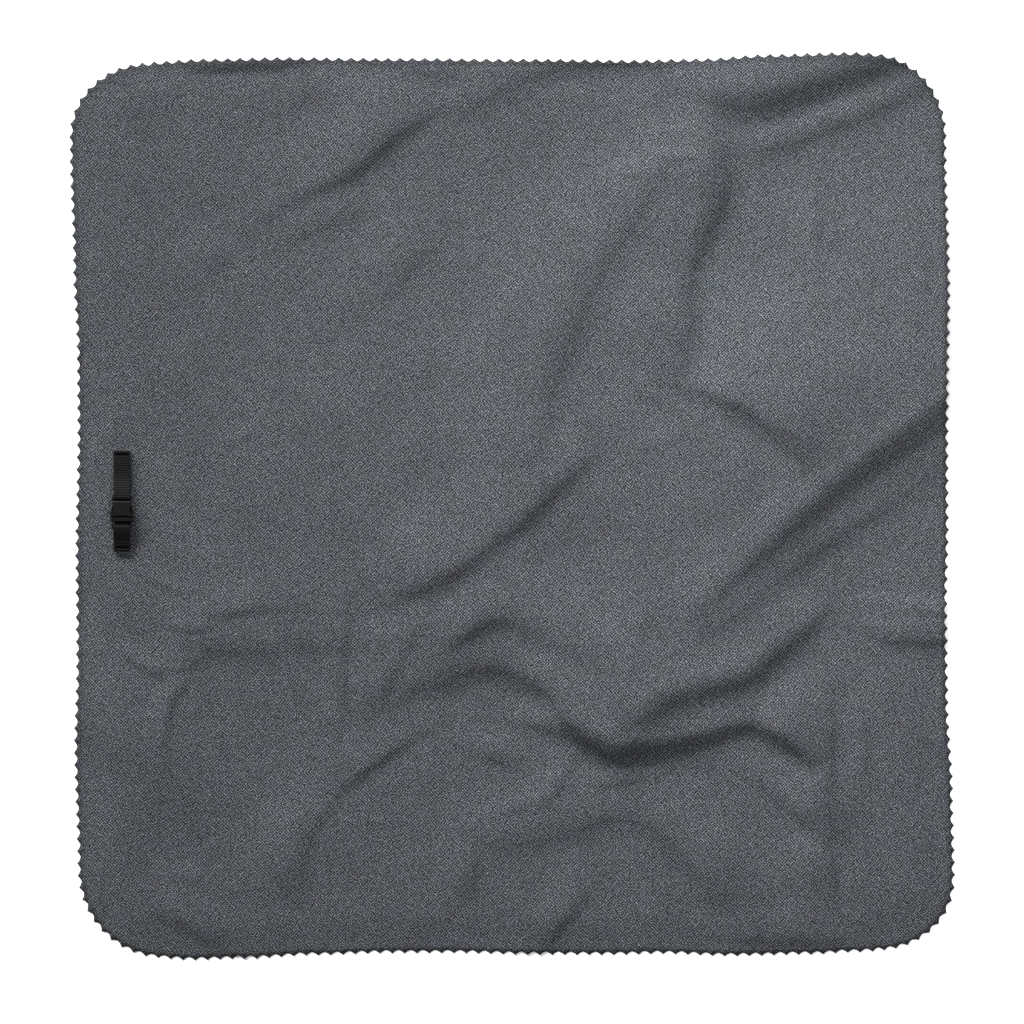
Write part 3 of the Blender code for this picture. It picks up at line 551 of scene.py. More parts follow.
class Finish:
    """A material whose nodes are wired by expressions."""

    def __init__(self, name):
        self.material = bpy.data.materials.new(name)
        self.material.use_nodes = True
        self.tree = self.material.node_tree
        self.tree.nodes.clear()

    def node(self, kind, settings, values, output=0):
        """Add any node: its settings first, then the values or wires of its sockets."""
        made = self.tree.nodes.new(kind)
        for name, value in settings.items():
            setattr(made, name, value)
        for name, value in values.items():
            if isinstance(value, Wire):
                self.tree.links.new(value.socket, made.inputs[name])
            else:
                made.inputs[name].default_value = value
        return Wire(self, made.outputs[output] if len(made.outputs) else None)

    def place(self):
        """Object coordinates."""
        return self.node("ShaderNodeTexCoord", {}, {}, "Object")

    def plan(self):
        """The X and the Y of Object coordinates."""
        parts = self.node("ShaderNodeSeparateXYZ", {}, {"Vector": self.place()})
        return parts["X"], parts["Y"]

    def noise(self, x, y, detail, seed=0.0, output=0):
        """Noise over a plane of two numbers, one cell of it to each unit. Output 0 is its
        number and 1 is its colour."""
        spot = self.node("ShaderNodeCombineXYZ", {}, {"X": x, "Y": y, "Z": seed})
        return self.node("ShaderNodeTexNoise", {}, {"Vector": spot, "Scale": 1.0,
                                                    "Detail": detail}, output)

    def grain(self, cells):
        """Noise all through a piece, with this many cells to a metre."""
        return self.node("ShaderNodeTexNoise", {},
                         {"Vector": self.place(), "Scale": cells, "Detail": 2.0})

    def scaled(self, colour, amount):
        """A colour made lighter or darker by a number."""
        return self.node("ShaderNodeVectorMath", {"operation": "SCALE"},
                         {0: colour, "Scale": amount})

    def tinted(self, colour, tint):
        """Two colours multiplied channel by channel."""
        return self.node("ShaderNodeVectorMath", {"operation": "MULTIPLY"}, {0: colour, 1: tint})

    def attribute(self, name):
        """A number held at each of the piece's mesh points."""
        return self.node("ShaderNodeAttribute", {"attribute_name": name}, {}, "Fac")

    def bump(self, height, distance, strength):
        """A normal raised by a height of 0 to 1 times a distance in metres."""
        return self.node("ShaderNodeBump", {}, {"Height": height, "Distance": distance,
                                                "Strength": strength})

    def shade(self, values):
        """Finish with a Principled shader that takes these values, and give the material."""
        shader = self.node("ShaderNodeBsdfPrincipled", {}, values)
        self.node("ShaderNodeOutputMaterial", {}, {"Surface": shader})
        return self.material


# ---- finishes ----------------------------------------------------------------
def knit_finish(cloth):
    """Heathered microfibre. Two sets of yarn strokes run at 45 degrees, each a cosine
    across the strokes whose phase wanders, and patches of one give way to the other."""
    finish = Finish("heathered_microfibre")
    x, y = finish.plan()
    rising = (x + y) * sqrt(0.5)
    falling = (y - x) * sqrt(0.5)
    across, along = 1 / cloth.stroke_pitch, 1 / cloth.stroke_length
    strokes = []
    for length_way, width_way, seed in ((rising, falling, 0.0), (falling, rising, 9.0)):
        wander = finish.noise(length_way * along, width_way * (WANDER_CELLS * across), 1.0,
                              seed=seed)
        wave = (width_way * (2 * pi * across) + wander * STROKE_WANDER).cosine()
        strength = finish.noise(length_way * (STRENGTH_CELLS * along), width_way * across, 1.0,
                                seed=seed + 4)
        strokes.append(wave * (strength * STROKE_STRENGTH - STROKE_FAINT))
    patch = finish.noise(x * PATCH_CELLS, y * PATCH_CELLS, 1.0, seed=3.0)
    turn = ((patch - 0.5) * PATCH_EDGE + 0.5).clamped()
    speck = finish.noise(rising * (SPECK_CELLS * across), falling * (SPECK_CELLS * across), 1.0,
                         seed=17.0)
    yarn = ((strokes[0] + (strokes[1] - strokes[0]) * turn) * STROKE_SHARE
            + (speck - 0.5) * SPECK_SHARE + 0.5).clamped()
    tone = (cloth.yarn_contrast ** yarn) * (1 / sqrt(cloth.yarn_contrast))
    worn = finish.noise(x * WEAR_CELLS, y * WEAR_CELLS, 3.0, seed=5.0)
    tint = finish.noise(x * DYE_CELLS, y * DYE_CELLS, 2.0, seed=1.0, output=1)
    mottle = finish.node("ShaderNodeVectorMath", {"operation": "MULTIPLY_ADD"},
                         {0: tint, 1: DYE_SPREAD, 2: DYE_BASE})
    # The rim attribute darkens the knit: partly painted shade at the cut edge, and painted shade
    # under the strap.
    rim = finish.attribute("rim")
    shade = (tone * (KNIT_LEVEL + (worn - 0.5) * WEAR_SHADE)
             * (1.0 - rim * RIM_DARKNESS))
    colour = finish.scaled(finish.tinted(mottle, cloth.colour[:]), shade)
    return finish.shade({
        "Base Color": colour,
        "Roughness": 0.86 + (worn - 0.5) * 0.2,
        "Normal": finish.bump(yarn, 0.35 * MM, 0.5),
        "Specular IOR Level": 0.15,
        "Sheen Weight": 0.06,
        "Sheen Roughness": 0.5,
    })


def webbing_finish(strap):
    """Woven black nylon with fine threads across the ribs, and painted shade in the grooves and
    under the bar of stitching.
    """
    finish = Finish("black_woven_webbing")
    x, y = finish.plan()
    threads = finish.noise(x * WARP_CELLS, y * WEFT_CELLS, 2.0)
    fuzz = finish.noise(x * FUZZ_CELLS, y * FUZZ_CELLS, 3.0, seed=4.0)
    groove = finish.attribute("groove")
    # the groove attribute paints shade into the grooves and under the bar of stitching
    shade = (0.62 + threads * 0.8) * (0.85 + fuzz * 0.4) * (1.0 - groove * 0.35)
    return finish.shade({
        "Base Color": finish.scaled(strap.webbing_colour[:], shade),
        "Roughness": 0.5 + fuzz * 0.25 + groove * 0.15,
        "Normal": finish.bump(threads, 0.12 * MM, 0.6),
        "Specular IOR Level": 0.12,
        "Sheen Weight": 0.01,
        "Sheen Roughness": 0.4,
    })


def thread_finish(strap):
    """Twisted polyester thread: fine slanting plies."""
    finish = Finish("black_twisted_thread")
    x, y = finish.plan()
    plies = finish.noise((x + y) * PLY_CELLS, (x - y) * PLY_LENGTH_CELLS, 1.0)
    return finish.shade({
        "Base Color": finish.scaled(strap.thread_colour[:], 0.6 + plies * 0.9),
        "Roughness": 0.42 + plies * 0.2,
        "Normal": finish.bump(plies, 0.06 * MM, 0.6),
        "Specular IOR Level": 0.05,
    })


def acetal_finish(strap):
    """Moulded black acetal: fine spark texture, a little polished where hands rub it."""
    finish = Finish("black_moulded_acetal")
    spark, rubbed = finish.grain(SPARK_CELLS), finish.grain(RUB_CELLS)
    return finish.shade({
        "Base Color": finish.scaled(strap.buckle_colour[:], 0.8 + rubbed * 0.4),
        "Roughness": 0.5 + rubbed * 0.2 + spark * 0.06,
        "Normal": finish.bump(spark, 0.05 * MM, 0.5),
        "Specular IOR Level": 0.13,
    })


def floor_finish(stage):
    """Matt pale paper, faintly uneven."""
    finish = Finish("pale_paper")
    return finish.shade({
        "Base Color": finish.scaled(stage.floor_colour[:],
                                    0.995 + finish.grain(PAPER_CELLS) * 0.01),
        "Roughness": 0.95,
        "Specular IOR Level": 0.0,
    })


# ---- meshes ------------------------------------------------------------------
def link(name, data):
    """A new object round a mesh, a light or a camera, put in the scene."""
    made = bpy.data.objects.new(name, data)
    bpy.context.scene.collection.objects.link(made)
    return made


def add_piece(name, points, faces, material, point_values=None):
    """A smooth-shaded piece from its points in metres and its faces, with any numbers
    that its material reads held at its points."""
    mesh = bpy.data.meshes.new(name)
    mesh.from_pydata(points, [], faces)
    for label, values in (point_values or {}).items():
        layer = mesh.attributes.new(label, "FLOAT", "POINT")
        layer.data.foreach_set("value", values.astype(np.float32))
    mesh.shade_smooth()
    mesh.materials.append(material)
    return link(name, mesh)


def turn_outward(piece):
    """Turn the faces of a piece's closed shells outward."""
    shape = bmesh.new()
    shape.from_mesh(piece.data)
    bmesh.ops.recalc_face_normals(shape, faces=shape.faces)
    shape.to_mesh(piece.data)
    shape.free()


def box_of(name):
    """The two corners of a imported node's box, in millimetres."""
    return (np.array(corner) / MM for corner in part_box(name))


def grid_index(rows, columns):
    """The row and the column of each place of a grid, row by row."""
    return (index.ravel() for index in np.mgrid[0:rows, 0:columns])


def closed_grid(rows, columns):
    """Faces of a grid that closes both ways, as on a ring with a looped profile."""
    row, column = grid_index(rows, columns)
    ahead, aside = (row + 1) % rows, (column + 1) % columns
    return np.stack((row * columns + column, ahead * columns + column,
                     ahead * columns + aside, row * columns + aside), axis=1)


def eased(part):
    """0 to 1 made to start and stop gently: three times its square less twice its cube."""
    return part * part * (3.0 - 2.0 * part)


# ---- cloth outline -----------------------------------------------------------
def bow_along(side, along):
    """Outward bow of a side, easing from each station to the next."""
    stations = SIDE_BOW[side]
    places = [row.along for row in stations]
    offsets = np.array([row.out for row in stations])
    index = np.interp(along, places, np.arange(len(places)))
    low = np.clip(np.floor(index).astype(int), 0, len(places) - 2)
    ease = eased(index - low)
    return offsets[low] * (1.0 - ease) + offsets[low + 1] * ease


def straight_side(side, start, end, along_start, along_end):
    """One straight run of the outline: its length and a function of the run's fraction."""
    start, end = np.array(start), np.array(end)
    length = np.linalg.norm(end - start)
    outward = np.array((end[1] - start[1], start[0] - end[0])) / length

    def place(fraction):
        along = along_start + (along_end - along_start) * fraction
        point = start + (end - start) * fraction[:, None]
        normal = np.tile(outward, (len(fraction), 1))
        return point + normal * bow_along(side, along)[:, None], normal

    return length, place


def round_corner(centre, radius, start_angle, bow_before, bow_after):
    """One corner arc, whose bow eases from the side before it to the side after it."""
    def place(fraction):
        angle = start_angle + fraction * pi / 2
        normal = np.stack((np.cos(angle), np.sin(angle)), axis=1)
        reach = radius + bow_before + (bow_after - bow_before) * eased(fraction)
        return np.array(centre) + normal * reach[:, None], normal

    return radius * pi / 2, place


def outline_runs():
    """The eight runs of the outline, anticlockwise from the foot of the right side."""
    w, l, r = HALF_WIDTH, HALF_LENGTH, CORNER_RADIUS
    first = {side: rows[0].out for side, rows in SIDE_BOW.items()}
    last = {side: rows[-1].out for side, rows in SIDE_BOW.items()}
    br, tr, tl, bl = r["bottom_right"], r["top_right"], r["top_left"], r["bottom_left"]
    return (
        straight_side("right", (w, -l + br), (w, l - tr), -l + br, l - tr),
        round_corner((w - tr, l - tr), tr, 0.0, last["right"], last["top"]),
        straight_side("top", (w - tr, l), (-w + tl, l), w - tr, -w + tl),
        round_corner((-w + tl, l - tl), tl, pi / 2, first["top"], last["left"]),
        straight_side("left", (-w, l - tl), (-w, -l + bl), l - tl, -l + bl),
        round_corner((-w + bl, -l + bl), bl, pi, first["left"], first["bottom"]),
        straight_side("bottom", (-w + bl, -l), (w - br, -l), -w + bl, w - br),
        round_corner((w - br, -l + br), br, 1.5 * pi, last["bottom"], first["right"]),
    )


def outline_at(share):
    """Points at shares of the way round the outline, and their outward directions."""
    runs = outline_runs()
    ends = np.cumsum([length for length, _ in runs])
    distance = (share % 1.0) * ends[-1]
    points, normals = np.zeros((len(share), 2)), np.zeros((len(share), 2))
    run_of = np.minimum(np.searchsorted(ends, distance, side="right"), len(runs) - 1)
    for index, (length, place) in enumerate(runs):
        chosen = run_of == index
        fraction = (distance[chosen] - ends[index] + length) / length
        points[chosen], normals[chosen] = place(np.clip(fraction, 0, 1))
    return points, normals


def tooth_profile(depth):
    """Swing of each rim point: a pointed tip between two wide round valleys."""
    step = np.arange(TOOTH_COUNT * TOOTH_POINTS) % TOOTH_POINTS
    to_tip = 1.0 - np.abs(step / (TOOTH_POINTS / 2) - 1.0)
    return depth * (TOOTH_STRAIGHT * to_tip + (1.0 - TOOTH_STRAIGHT) * to_tip**2 - 0.5)


# ---- cloth height ------------------------------------------------------------
def smooth_rows(rows, count):
    """Catmull-Rom curve through the rows of a table, in every column."""
    table = np.array(rows, dtype=float)
    padded = np.vstack((2 * table[0] - table[1], table, 2 * table[-1] - table[-2]))
    place = np.linspace(0, len(table) - 1, count)
    index = np.clip(place.astype(int), 0, len(table) - 2)
    t = (place - index)[:, None]
    a, b, c, d = (padded[index + k] for k in range(4))
    return 0.5 * (2 * b + (c - a) * t + (2 * a - 5 * b + 4 * c - d) * t**2
                  + (3 * b - a - 3 * c + d) * t**3)


def fold_height(x, y, rows):
    """Height of one fold. Each stretch of it gives its rise times the squared cosine of
    distance from its crest over the reach of that side, and the stretches are averaged
    with weights that fall off from the nearest one."""
    line = smooth_rows(rows, FOLD_STEPS)
    margin = line[:, 3:].max() * FOLD_REACH
    low, high = line[:, :2].min(axis=0) - margin, line[:, :2].max(axis=0) + margin
    near = (x > low[0]) & (x < high[0]) & (y > low[1]) & (y < high[1])
    start = line[:-1, :, None]
    run = np.diff(line, axis=0)[:, :, None]
    from_x, from_y = x[near] - start[:, 0], y[near] - start[:, 1]
    t = np.clip((from_x * run[:, 0] + from_y * run[:, 1]) / (run[:, 0]**2 + run[:, 1]**2), 0, 1)
    away = np.hypot(from_x - t * run[:, 0], from_y - t * run[:, 1])
    on_left = run[:, 0] * from_y - run[:, 1] * from_x > 0
    rise, fall, climb = (start[:, k] + t * run[:, k] for k in (2, 3, 4))
    past_crest = np.where(on_left, -away, away) + fall / 2
    reach = np.where(past_crest > 0, fall, climb)
    slope = np.cos(np.clip(np.abs(past_crest) / reach, 0, 1) * pi / 2) ** 2
    weight = np.exp((away.min(axis=0) - away) / FOLD_BLEND)
    height = np.zeros(x.shape)
    height[near] = (np.maximum(rise, 0) * slope * weight).sum(axis=0) / weight.sum(axis=0)
    return height


def ripple_height(x, y):
    """Long low waves: a sum of cosines with random ways and phases, the longer the higher,
    raised by half the ripples' height and kept within it."""
    dice = np.random.default_rng(RIPPLE_SEED)
    length = np.exp(dice.uniform(np.log(RIPPLE_SHORTEST), np.log(RIPPLE_LONGEST), RIPPLE_COUNT))
    angle = dice.uniform(0, 2 * pi, RIPPLE_COUNT)
    phase = dice.uniform(0, 2 * pi, RIPPLE_COUNT)
    size = length / RIPPLE_LONGEST
    total = np.zeros(x.shape)
    for long, way, shift, part in zip(length, angle, phase, size):
        total += part * np.cos(2 * pi * (x * np.cos(way) + y * np.sin(way)) / long + shift)
    total = total / np.sqrt((size**2).sum() / 2)
    return RIPPLE_HEIGHT * np.clip(0.5 + RIPPLE_SPREAD * total, 0, 1)


def strap_box():
    """Box round the strap and buckle in millimetres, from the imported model."""
    boxes = np.array([[tuple(corner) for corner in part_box(name)]
                      for name in (*LOOPS, *BUCKLE_HALVES)]) / MM
    return boxes[:, 0].min(axis=0), boxes[:, 1].max(axis=0)


def outside_strap(x, y):
    """How far places on the cloth are outside the strap's box in X and in Y; under 0 is in."""
    low, high = strap_box()
    return np.maximum(low[0] - x, x - high[0]), np.maximum(low[1] - y, y - high[1])


def strap_clearance(x, y):
    """0 under the strap and 1 well away from it."""
    off_x, off_y = (np.maximum(off, 0) for off in outside_strap(x, y))
    return eased(np.clip(np.hypot(off_x, off_y) / SEAT_CLEAR, 0, 1))


def under_strap(x, y):
    """Whether the strap hides a place on the cloth, a little in from the strap's outline; the
    knit gets painted shade there.
    """
    off_x, off_y = outside_strap(x, y)
    return (off_x < -UNDER_STRAP_IN) & (off_y < -UNDER_STRAP_IN)


def heights_of(tables, x, y):
    """Sum of the folds of a table."""
    return sum(fold_height(x, y, rows) for rows in tables.values())


def cloth_height(x, y, rippled):
    """Height over the surface below: folds, creases, and ripples by the share let in."""
    return (heights_of(FOLDS, x, y) + heights_of(CREASES, x, y)
            + ripple_height(x, y) * strap_clearance(x, y) * rippled)


# ---- cloth mesh --------------------------------------------------------------
def square_grid(cells):
    """The two numbers, -1 to 1, of each point of a square grid, and which square ring the
    point is on: 0 at the grid's middle and 1 at its outer ring."""
    steps = np.linspace(-1, 1, cells + 1)
    u, v = (part.ravel() for part in np.meshgrid(steps, steps))
    return u, v, np.maximum(np.maximum(np.abs(u), np.abs(v)), NO_RING)


def grid_plan(cells):
    """Plan points of a square grid. Each square ring of the grid becomes a smaller copy
    of the outline: its share of the way round is its share round the square."""
    u, v, ring = square_grid(cells)
    side = np.select(
        [(u == ring) & (v < ring), (v == ring) & (u > -ring), (u == -ring) & (v > -ring)],
        [(v / ring + 1) / 2, 1 + (1 - u / ring) / 2, 2 + (1 - v / ring) / 2],
        3 + (u / ring + 1) / 2)
    share = side / 4 - CORNER_POINTS / (TOOTH_COUNT * TOOTH_POINTS)
    points, normals = outline_at(share)
    return (points - normals * RIM_STRIP) * ring[:, None]


def grid_faces(cells):
    """Quads of a square grid, turned up."""
    row, column = grid_index(cells, cells)
    corner = row * (cells + 1) + column
    return np.stack((corner, corner + 1, corner + cells + 2, corner + cells + 1), axis=1)


def outer_ring(cells):
    """Indexes of a grid's outer ring, anticlockwise from its lower right corner."""
    step = np.arange(cells)
    return np.concatenate((step * (cells + 1) + cells, cells * (cells + 1) + cells - step,
                           (cells - step) * (cells + 1), step))


def rim_fans(ring, rim):
    """Triangles that zip a grid's outer ring to the finer rim, in step round the outline."""
    cells, count = len(ring), len(rim)
    rim = np.roll(rim, CORNER_POINTS)
    point, cell = np.arange(count), np.arange(cells)
    outer = np.stack((ring[((point + 1) * cells - 1) // count], rim,
                      rim[(point + 1) % count]), axis=1)
    inner = np.stack((ring, rim[((cell + 1) * count // cells) % count],
                      ring[(cell + 1) % cells]), axis=1)
    return np.concatenate((outer, inner))


def build_cloth(context):
    """Closed sheet: a fine top, a coarser underside, and a rounded cut edge between them."""
    cloth = context.scene.towel_cloth
    thick = cloth.thickness / MM
    rim_count = TOOTH_COUNT * TOOTH_POINTS
    edge, outward = outline_at(np.arange(rim_count) / rim_count)
    rim = edge + outward * tooth_profile(cloth.tooth_depth / MM)[:, None]
    low, high = (corner[:2] for corner in box_of("towel_cloth"))
    shift = (low + high) / 2 - (rim.min(axis=0) + rim.max(axis=0)) / 2
    top, under = grid_plan(TOP_CELLS), grid_plan(UNDER_CELLS)
    tucked = rim - outward * RIM_ROUND

    in_from_rim = RIM_STRIP + (1 - square_grid(TOP_CELLS)[2]) * HALF_WIDTH
    grown = eased(np.clip(in_from_rim / RIM_TAPER, 0, 1))
    body = RIM_THICKNESS + (thick - RIM_THICKNESS) * grown

    rise = cloth_height(top[:, 0], top[:, 1], grown).reshape(TOP_CELLS + 1, -1)
    for _ in range(SMOOTHING_PASSES):
        rise[1:-1, 1:-1] = (rise[1:-1, 1:-1] * 4 + rise[:-2, 1:-1] + rise[2:, 1:-1]
                            + rise[1:-1, :-2] + rise[1:-1, 2:]) / 8
    rim_rise = cloth_height(rim[:, 0], rim[:, 1], 0.0)
    layers = ((top, rise.ravel() + body), (tucked, rim_rise + RIM_THICKNESS),
              (rim, rim_rise + RIM_THICKNESS / 2), (tucked, rim_rise),
              (under, heights_of(FOLDS, under[:, 0], under[:, 1])))
    points = np.vstack([np.column_stack((plan + shift, height)) for plan, height in layers])
    starts = np.cumsum([0] + [len(plan) for plan, _ in layers])
    upper, middle, lower = (starts[k] + np.arange(rim_count) for k in (1, 2, 3))

    def wall(above, below):
        return np.stack((above, below, np.roll(below, -1), np.roll(above, -1)), axis=1)

    below_fans = rim_fans(starts[4] + outer_ring(UNDER_CELLS), lower)
    faces = [*grid_faces(TOP_CELLS).tolist(), *rim_fans(outer_ring(TOP_CELLS), upper).tolist(),
             *wall(upper, middle).tolist(), *wall(middle, lower).tolist(),
             *below_fans[:, ::-1].tolist(),
             *(starts[4] + grid_faces(UNDER_CELLS)[:, ::-1]).tolist()]
    # Darkening read by the knit: partly painted shade at the cut edge, and painted shade under
    # the strap.
    dark = np.zeros(len(points))
    dark[outer_ring(TOP_CELLS)] = RIM_SHADE
    dark[:len(top)][under_strap(top[:, 0], top[:, 1])] = UNDER_STRAP_PAINTED_SHADE
    dark[starts[1]:starts[4]] = 1

    piece = add_piece("towel_cloth_knit", points * MM, faces, knit_finish(cloth), {"rim": dark})
    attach(piece, "root")
    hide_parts("towel_cloth")
    size = (high - low) * MM
    CLOTH_FILL * size[0] * size[1]


# ---- webbing -----------------------------------------------------------------
def arc(centre, radius, start, end, steps):
    """Points of an arc from one angle to another, in the strap's length and height."""
    angles = np.linspace(start, end, steps)
    return np.stack((centre[0] + radius * np.cos(angles),
                     centre[1] + radius * np.sin(angles)), axis=1)


def loop_path(name, strap):
    """Middle line of a webbing loop, evenly spaced, as length from the bar and height,
    with its outward directions, the count of ribs up to each point, and how far from the
    bar its sewn end is. The top layer comes down from the bar as half a cosine."""
    low, high = box_of(name)
    half = strap.thickness / MM / 2
    sewn_y = high[1] if LOOPS[name].way > 0 else low[1]
    low_z = low[2] + half
    turn = BAR_RADIUS + SEAT_GAP + half
    end_turn = SEWN_GAP / 2 + half
    reach = abs(sewn_y - LOOPS[name].bar_y) - half - end_turn
    slope = min(SLOPE_LENGTH, SLOPE_SHARE * reach)
    along = np.linspace(0, 1, BAR_STEPS)
    down = (0.5 - 0.5 * np.cos(pi * along)) * (2 * turn - 2 * end_turn)
    way_down = np.stack((slope * along, low_z + 2 * turn - down), axis=1)
    path = np.vstack((
        arc((0.0, low_z + turn), turn, -pi / 2, -3 * pi / 2, BAR_STEPS),
        way_down[1:],
        arc((reach, low_z + end_turn), end_turn, pi / 2, -pi / 2, END_STEPS),
        ((0.0, low_z),)))
    gone = np.concatenate(((0.0,), np.cumsum(np.hypot(*np.diff(path, axis=0).T))))
    ribs = round(gone[-1] / (strap.rib_pitch / MM))
    count = int(gone[-1] / WEBBING_STEP)
    place = np.arange(count) * gone[-1] / count
    line = np.stack([np.interp(place, gone, path[:, k]) for k in (0, 1)], axis=1)
    ahead = np.roll(line, -2, axis=0) - np.roll(line, 2, axis=0)
    ahead /= np.hypot(*ahead.T)[:, None]
    outward = np.stack((-ahead[:, 1], ahead[:, 0]), axis=1)
    return line, outward, place / gone[-1] * ribs, reach


def webbing_profile(width, half):
    """Section of the webbing: two flat faces and two half-round edges, anticlockwise."""
    face = np.linspace(-1, 1, FACE_POINTS) * (width / 2 - half)
    turn = np.linspace(-pi / 2, pi / 2, EDGE_POINTS + 2)[1:-1]
    right = np.stack((width / 2 - half + half * np.cos(turn), half * np.sin(turn)), axis=1)
    bottom = np.stack((face, np.full(FACE_POINTS, -half)), axis=1)
    return np.vstack((bottom, right, bottom[::-1] * (1, -1), -right))


def tack_mask(along, reach, loop):
    """1 under the bar of stitching and 0 outside it, with soft ends."""
    middle = reach - loop.tack_in
    off = np.abs(along - middle) - loop.tack_length / 2
    return np.clip(1 - off / SOFT_EDGE, 0, 1)


def build_webbing(name, context, material):
    """A webbing loop: its section carried round a closed path, with ribs across it. A
    groove is one less a power of the cosine of the way along, and the ribs are nudged to
    and fro across the width. Gives the piece and the flat length of its webbing."""
    strap = context.scene.towel_strap
    loop = LOOPS[name]
    low, high = box_of(name)
    half = strap.thickness / MM / 2
    width, middle_x = high[0] - low[0], (low[0] + high[0]) / 2
    line, outward, ribs, reach = loop_path(name, strap)
    section = webbing_profile(width, half)

    across, offset = section[:, 0], section[:, 1]
    inside = np.clip((width / 2 - SELVEDGE - np.abs(across)) / SOFT_EDGE, 0, 1)
    nudge = RIB_NUDGE * np.cos(2 * pi * across / RIB_NUDGE_PITCH)
    wave = np.abs(np.cos(pi * (ribs[:, None] + nudge)))
    hem_wave = np.abs(np.cos(HEM_RIBS * pi * ribs[:, None]))
    hem = (1 - hem_wave ** RIB_POWER) * (1 - inside) * HEM_SHARE
    groove = np.clip((1 - wave ** RIB_POWER) * inside + hem, 0, 1)
    on_top = (line[:, 1] > line[:, 1].mean()) & (line[:, 0] > 0)
    tack = tack_mask(line[:, 0], reach, loop)[:, None] * on_top[:, None] * (offset > 0)
    depth = (strap.rib_depth / MM * groove * (1 - TACK_FLATTEN * tack)
             + TACK_SINK * tack * inside)
    lift = offset * (1 - depth / half)
    along = line[:, 0, None] + outward[:, 0, None] * lift
    height = line[:, 1, None] + outward[:, 1, None] * lift

    points = np.stack((np.broadcast_to(middle_x + across, along.shape),
                       loop.bar_y + loop.way * along, height), axis=-1).reshape(-1, 3) * MM
    faces = closed_grid(len(line), len(section)).tolist()
    # the groove attribute carries painted shade for the grooves and under the bar of stitching
    piece = add_piece(f"{name}_woven", points, faces, material,
                      {"groove": np.clip(groove + tack, 0, 1).ravel()})
    turn_outward(piece)
    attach(piece, "root")
    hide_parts(name)
    return piece, len(line) * WEBBING_STEP


# ---- stitching ---------------------------------------------------------------
def build_stitching(name, context, material):
    """A bar of stitching across a sewn end. Each stitch is a thread whose middle line
    arches as a half sine, slanting left and right in turn, with pointed ends."""
    strap = context.scene.towel_strap
    loop = LOOPS[name]
    low, high = box_of(name)
    line, _, _, reach = loop_path(name, strap)
    half = strap.thickness / MM / 2
    middle = reach - loop.tack_in
    top = line[np.abs(line[:, 0] - middle).argmin(), 1]
    top = max(top, low[2] + half + 2 * (SEWN_GAP / 2 + half)) + half - TACK_SINK
    middle_x = (low[0] + high[0]) / 2
    middle_y = loop.bar_y + loop.way * middle

    stitch = np.arange(strap.stitch_count)
    centre_x = middle_x + (stitch - (strap.stitch_count - 1) / 2) * STITCH_PITCH
    slant = np.where(stitch % 2, 1, -1) * STITCH_SLANT
    t = np.linspace(-1, 1, THREAD_RINGS)
    turn = np.arange(THREAD_SIDES) * 2 * pi / THREAD_SIDES
    bulge = np.sqrt(np.clip(1 - t**THREAD_BLUNTNESS, 0, 1)) * THREAD_RADIUS + THREAD_TIP
    s, ring, side = np.meshgrid(stitch, np.arange(THREAD_RINGS), np.arange(THREAD_SIDES),
                                indexing="ij")
    x = centre_x[s] + slant[s] * t[ring] + bulge[ring] * np.cos(turn[side])
    y = middle_y + loop.tack_length / 2 * t[ring]
    z = top + STITCH_ARCH * np.cos(t[ring] * pi / 2) + bulge[ring] * np.sin(turn[side])
    points = np.stack((x, y, z), axis=-1).reshape(-1, 3) * MM

    ring, side = grid_index(THREAD_RINGS - 1, THREAD_SIDES)
    aside = (side + 1) % THREAD_SIDES
    wall = np.stack((ring * THREAD_SIDES + side, (ring + 1) * THREAD_SIDES + side,
                     (ring + 1) * THREAD_SIDES + aside, ring * THREAD_SIDES + aside), axis=1)
    size = THREAD_RINGS * THREAD_SIDES
    caps = (list(range(THREAD_SIDES)), list(range(size - 1, size - 1 - THREAD_SIDES, -1)))
    faces = []
    for start in stitch * size:
        faces += (wall + start).tolist() + [[start + k for k in cap] for cap in caps]
    piece = add_piece(f"{name}_stitching", points, faces, material)
    turn_outward(piece)
    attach(piece, "root")
    return piece


# ---- stage -------------------------------------------------------------------
def add_light(name, power, width, height, place, target):
    """A flat soft light that faces a target."""
    lamp = bpy.data.lights.new(name, "AREA")
    lamp.shape = "RECTANGLE"
    lamp.energy, lamp.size, lamp.size_y = power, width, height
    light = link(name, lamp)
    light.location = place
    light.rotation_euler = (target - place).to_track_quat("-Z", "Y").to_euler()


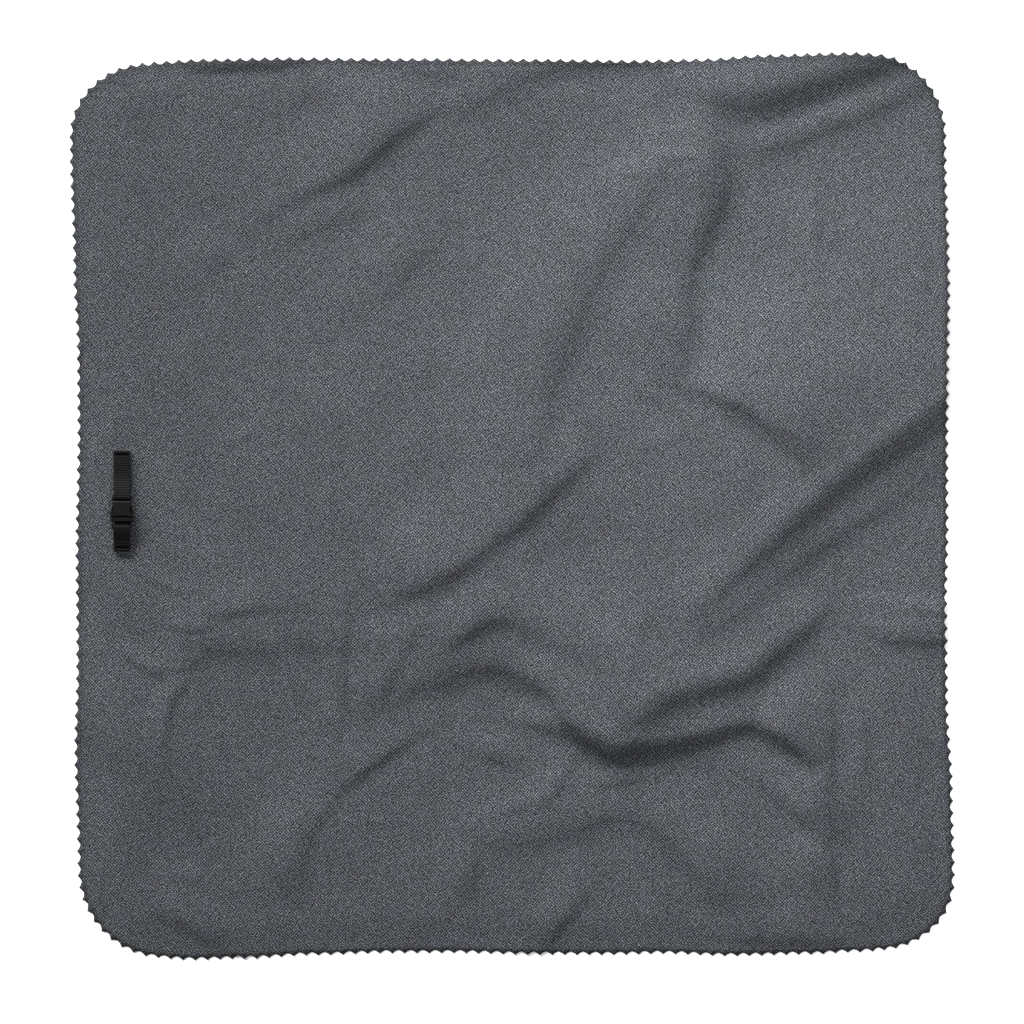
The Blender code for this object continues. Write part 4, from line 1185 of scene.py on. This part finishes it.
def build_stage(context):
    """Floor, two soft lights, an even sky and the camera that looks straight down."""
    stage = context.scene.towel_stage
    low, high = CAD_BOX
    middle = (low + high) / 2
    corners = [(x * FLOOR_HALF, y * FLOOR_HALF, low.z - FLOOR_GAP)
               for x, y in ((-1, -1), (1, -1), (1, 1), (-1, 1))]
    floor = add_piece("studio_floor", corners, [(0, 1, 2, 3)], floor_finish(stage))

    camera = link("towel_camera", bpy.data.cameras.new("towel_camera"))
    camera.data.sensor_width = SENSOR_WIDTH
    camera.data.lens = SENSOR_WIDTH * stage.camera_height / stage.view_width
    camera.data.clip_end = VIEW_END
    camera.location = Vector(AIM) + Vector((0.0, 0.0, stage.camera_height))
    context.scene.camera = camera

    azimuth, elevation = stage.key_azimuth, stage.key_elevation
    key_way = Vector((sin(azimuth) * cos(elevation), cos(azimuth) * cos(elevation),
                      sin(elevation)))
    add_light("key_light", stage.key_power, KEY_WIDTH, KEY_HEIGHT, middle + key_way * KEY_FAR,
              middle)
    foot = middle + Vector(FILL_OFF)
    add_light("fill_light", stage.fill_power, FILL_WIDTH, FILL_WIDTH, foot + Vector(FILL_OVER),
              foot)

    world = bpy.data.worlds.new("studio_sky")
    world.use_nodes = True
    sky = world.node_tree.nodes["Background"]
    sky.inputs["Color"].default_value = (1.0, 1.0, 1.0, 1.0)
    sky.inputs["Strength"].default_value = stage.sky_strength
    context.scene.world = world
    context.scene.view_settings.view_transform = "Standard"
    context.scene.cycles.denoising_prefilter = "NONE"  # keeps the knit's finest strokes


# ---- operators ---------------------------------------------------------------
class TOWEL_OT_stage(bpy.types.Operator):
    """Set up the floor, the lights and the camera"""
    bl_idname = "towel.stage"
    bl_label = "Set up stage"

    def execute(self, context):
        build_stage(context)
        return {"FINISHED"}


class TOWEL_OT_cloth(bpy.types.Operator):
    """Build the pinked microfibre cloth with its folds"""
    bl_idname = "towel.cloth"
    bl_label = "Build cloth"

    def execute(self, context):
        build_cloth(context)
        return {"FINISHED"}


class TOWEL_OT_strap(bpy.types.Operator):
    """Build the two webbing loops and the stitching that holds their sewn ends"""
    bl_idname = "towel.strap"
    bl_label = "Build webbing"

    def execute(self, context):
        strap = context.scene.towel_strap
        woven, thread = webbing_finish(strap), thread_finish(strap)
        for name in LOOPS:
            piece, length = build_webbing(name, context, woven)
            stitches = build_stitching(name, context, thread)
        return {"FINISHED"}


class TOWEL_OT_buckle(bpy.types.Operator):
    """Give the two moulded halves of the buckle their finish"""
    bl_idname = "towel.buckle"
    bl_label = "Finish buckle"

    def execute(self, context):
        material = acetal_finish(context.scene.towel_strap)
        for name in BUCKLE_HALVES:
            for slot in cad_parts[name].material_slots:
                slot.material = material
        return {"FINISHED"}


class TOWEL_PT_panel(bpy.types.Panel):
    """Lists the towel's settings and the steps that build it"""
    bl_idname = "TOWEL_PT_panel"
    bl_label = "Travel towel"
    bl_space_type = "VIEW_3D"
    bl_region_type = "UI"
    bl_category = "Towel"

    def draw(self, context):
        for step in STEPS:
            self.layout.operator(step.bl_idname)
        for group in (context.scene.towel_cloth, context.scene.towel_strap,
                      context.scene.towel_stage):
            box = self.layout.box()
            for name in group.__annotations__:
                box.prop(group, name)


STEPS = (TOWEL_OT_stage, TOWEL_OT_cloth, TOWEL_OT_strap, TOWEL_OT_buckle)
CLASSES = (ClothSettings, StrapSettings, StageSettings, *STEPS, TOWEL_PT_panel)


def register():
    """Add the settings, the steps and their panel to Blender."""
    for item in CLASSES:
        bpy.utils.register_class(item)
    bpy.types.Scene.towel_cloth = PointerProperty(type=ClothSettings)
    bpy.types.Scene.towel_strap = PointerProperty(type=StrapSettings)
    bpy.types.Scene.towel_stage = PointerProperty(type=StageSettings)


def unregister():
    """Take them out again."""
    del bpy.types.Scene.towel_cloth, bpy.types.Scene.towel_strap, bpy.types.Scene.towel_stage
    for item in reversed(CLASSES):
        bpy.utils.unregister_class(item)


def main():
    """Build every piece in turn."""
    register()
    bpy.ops.towel.stage()
    bpy.ops.towel.cloth()
    bpy.ops.towel.strap()
    bpy.ops.towel.buckle()


if __name__ == "__main__":
    main()
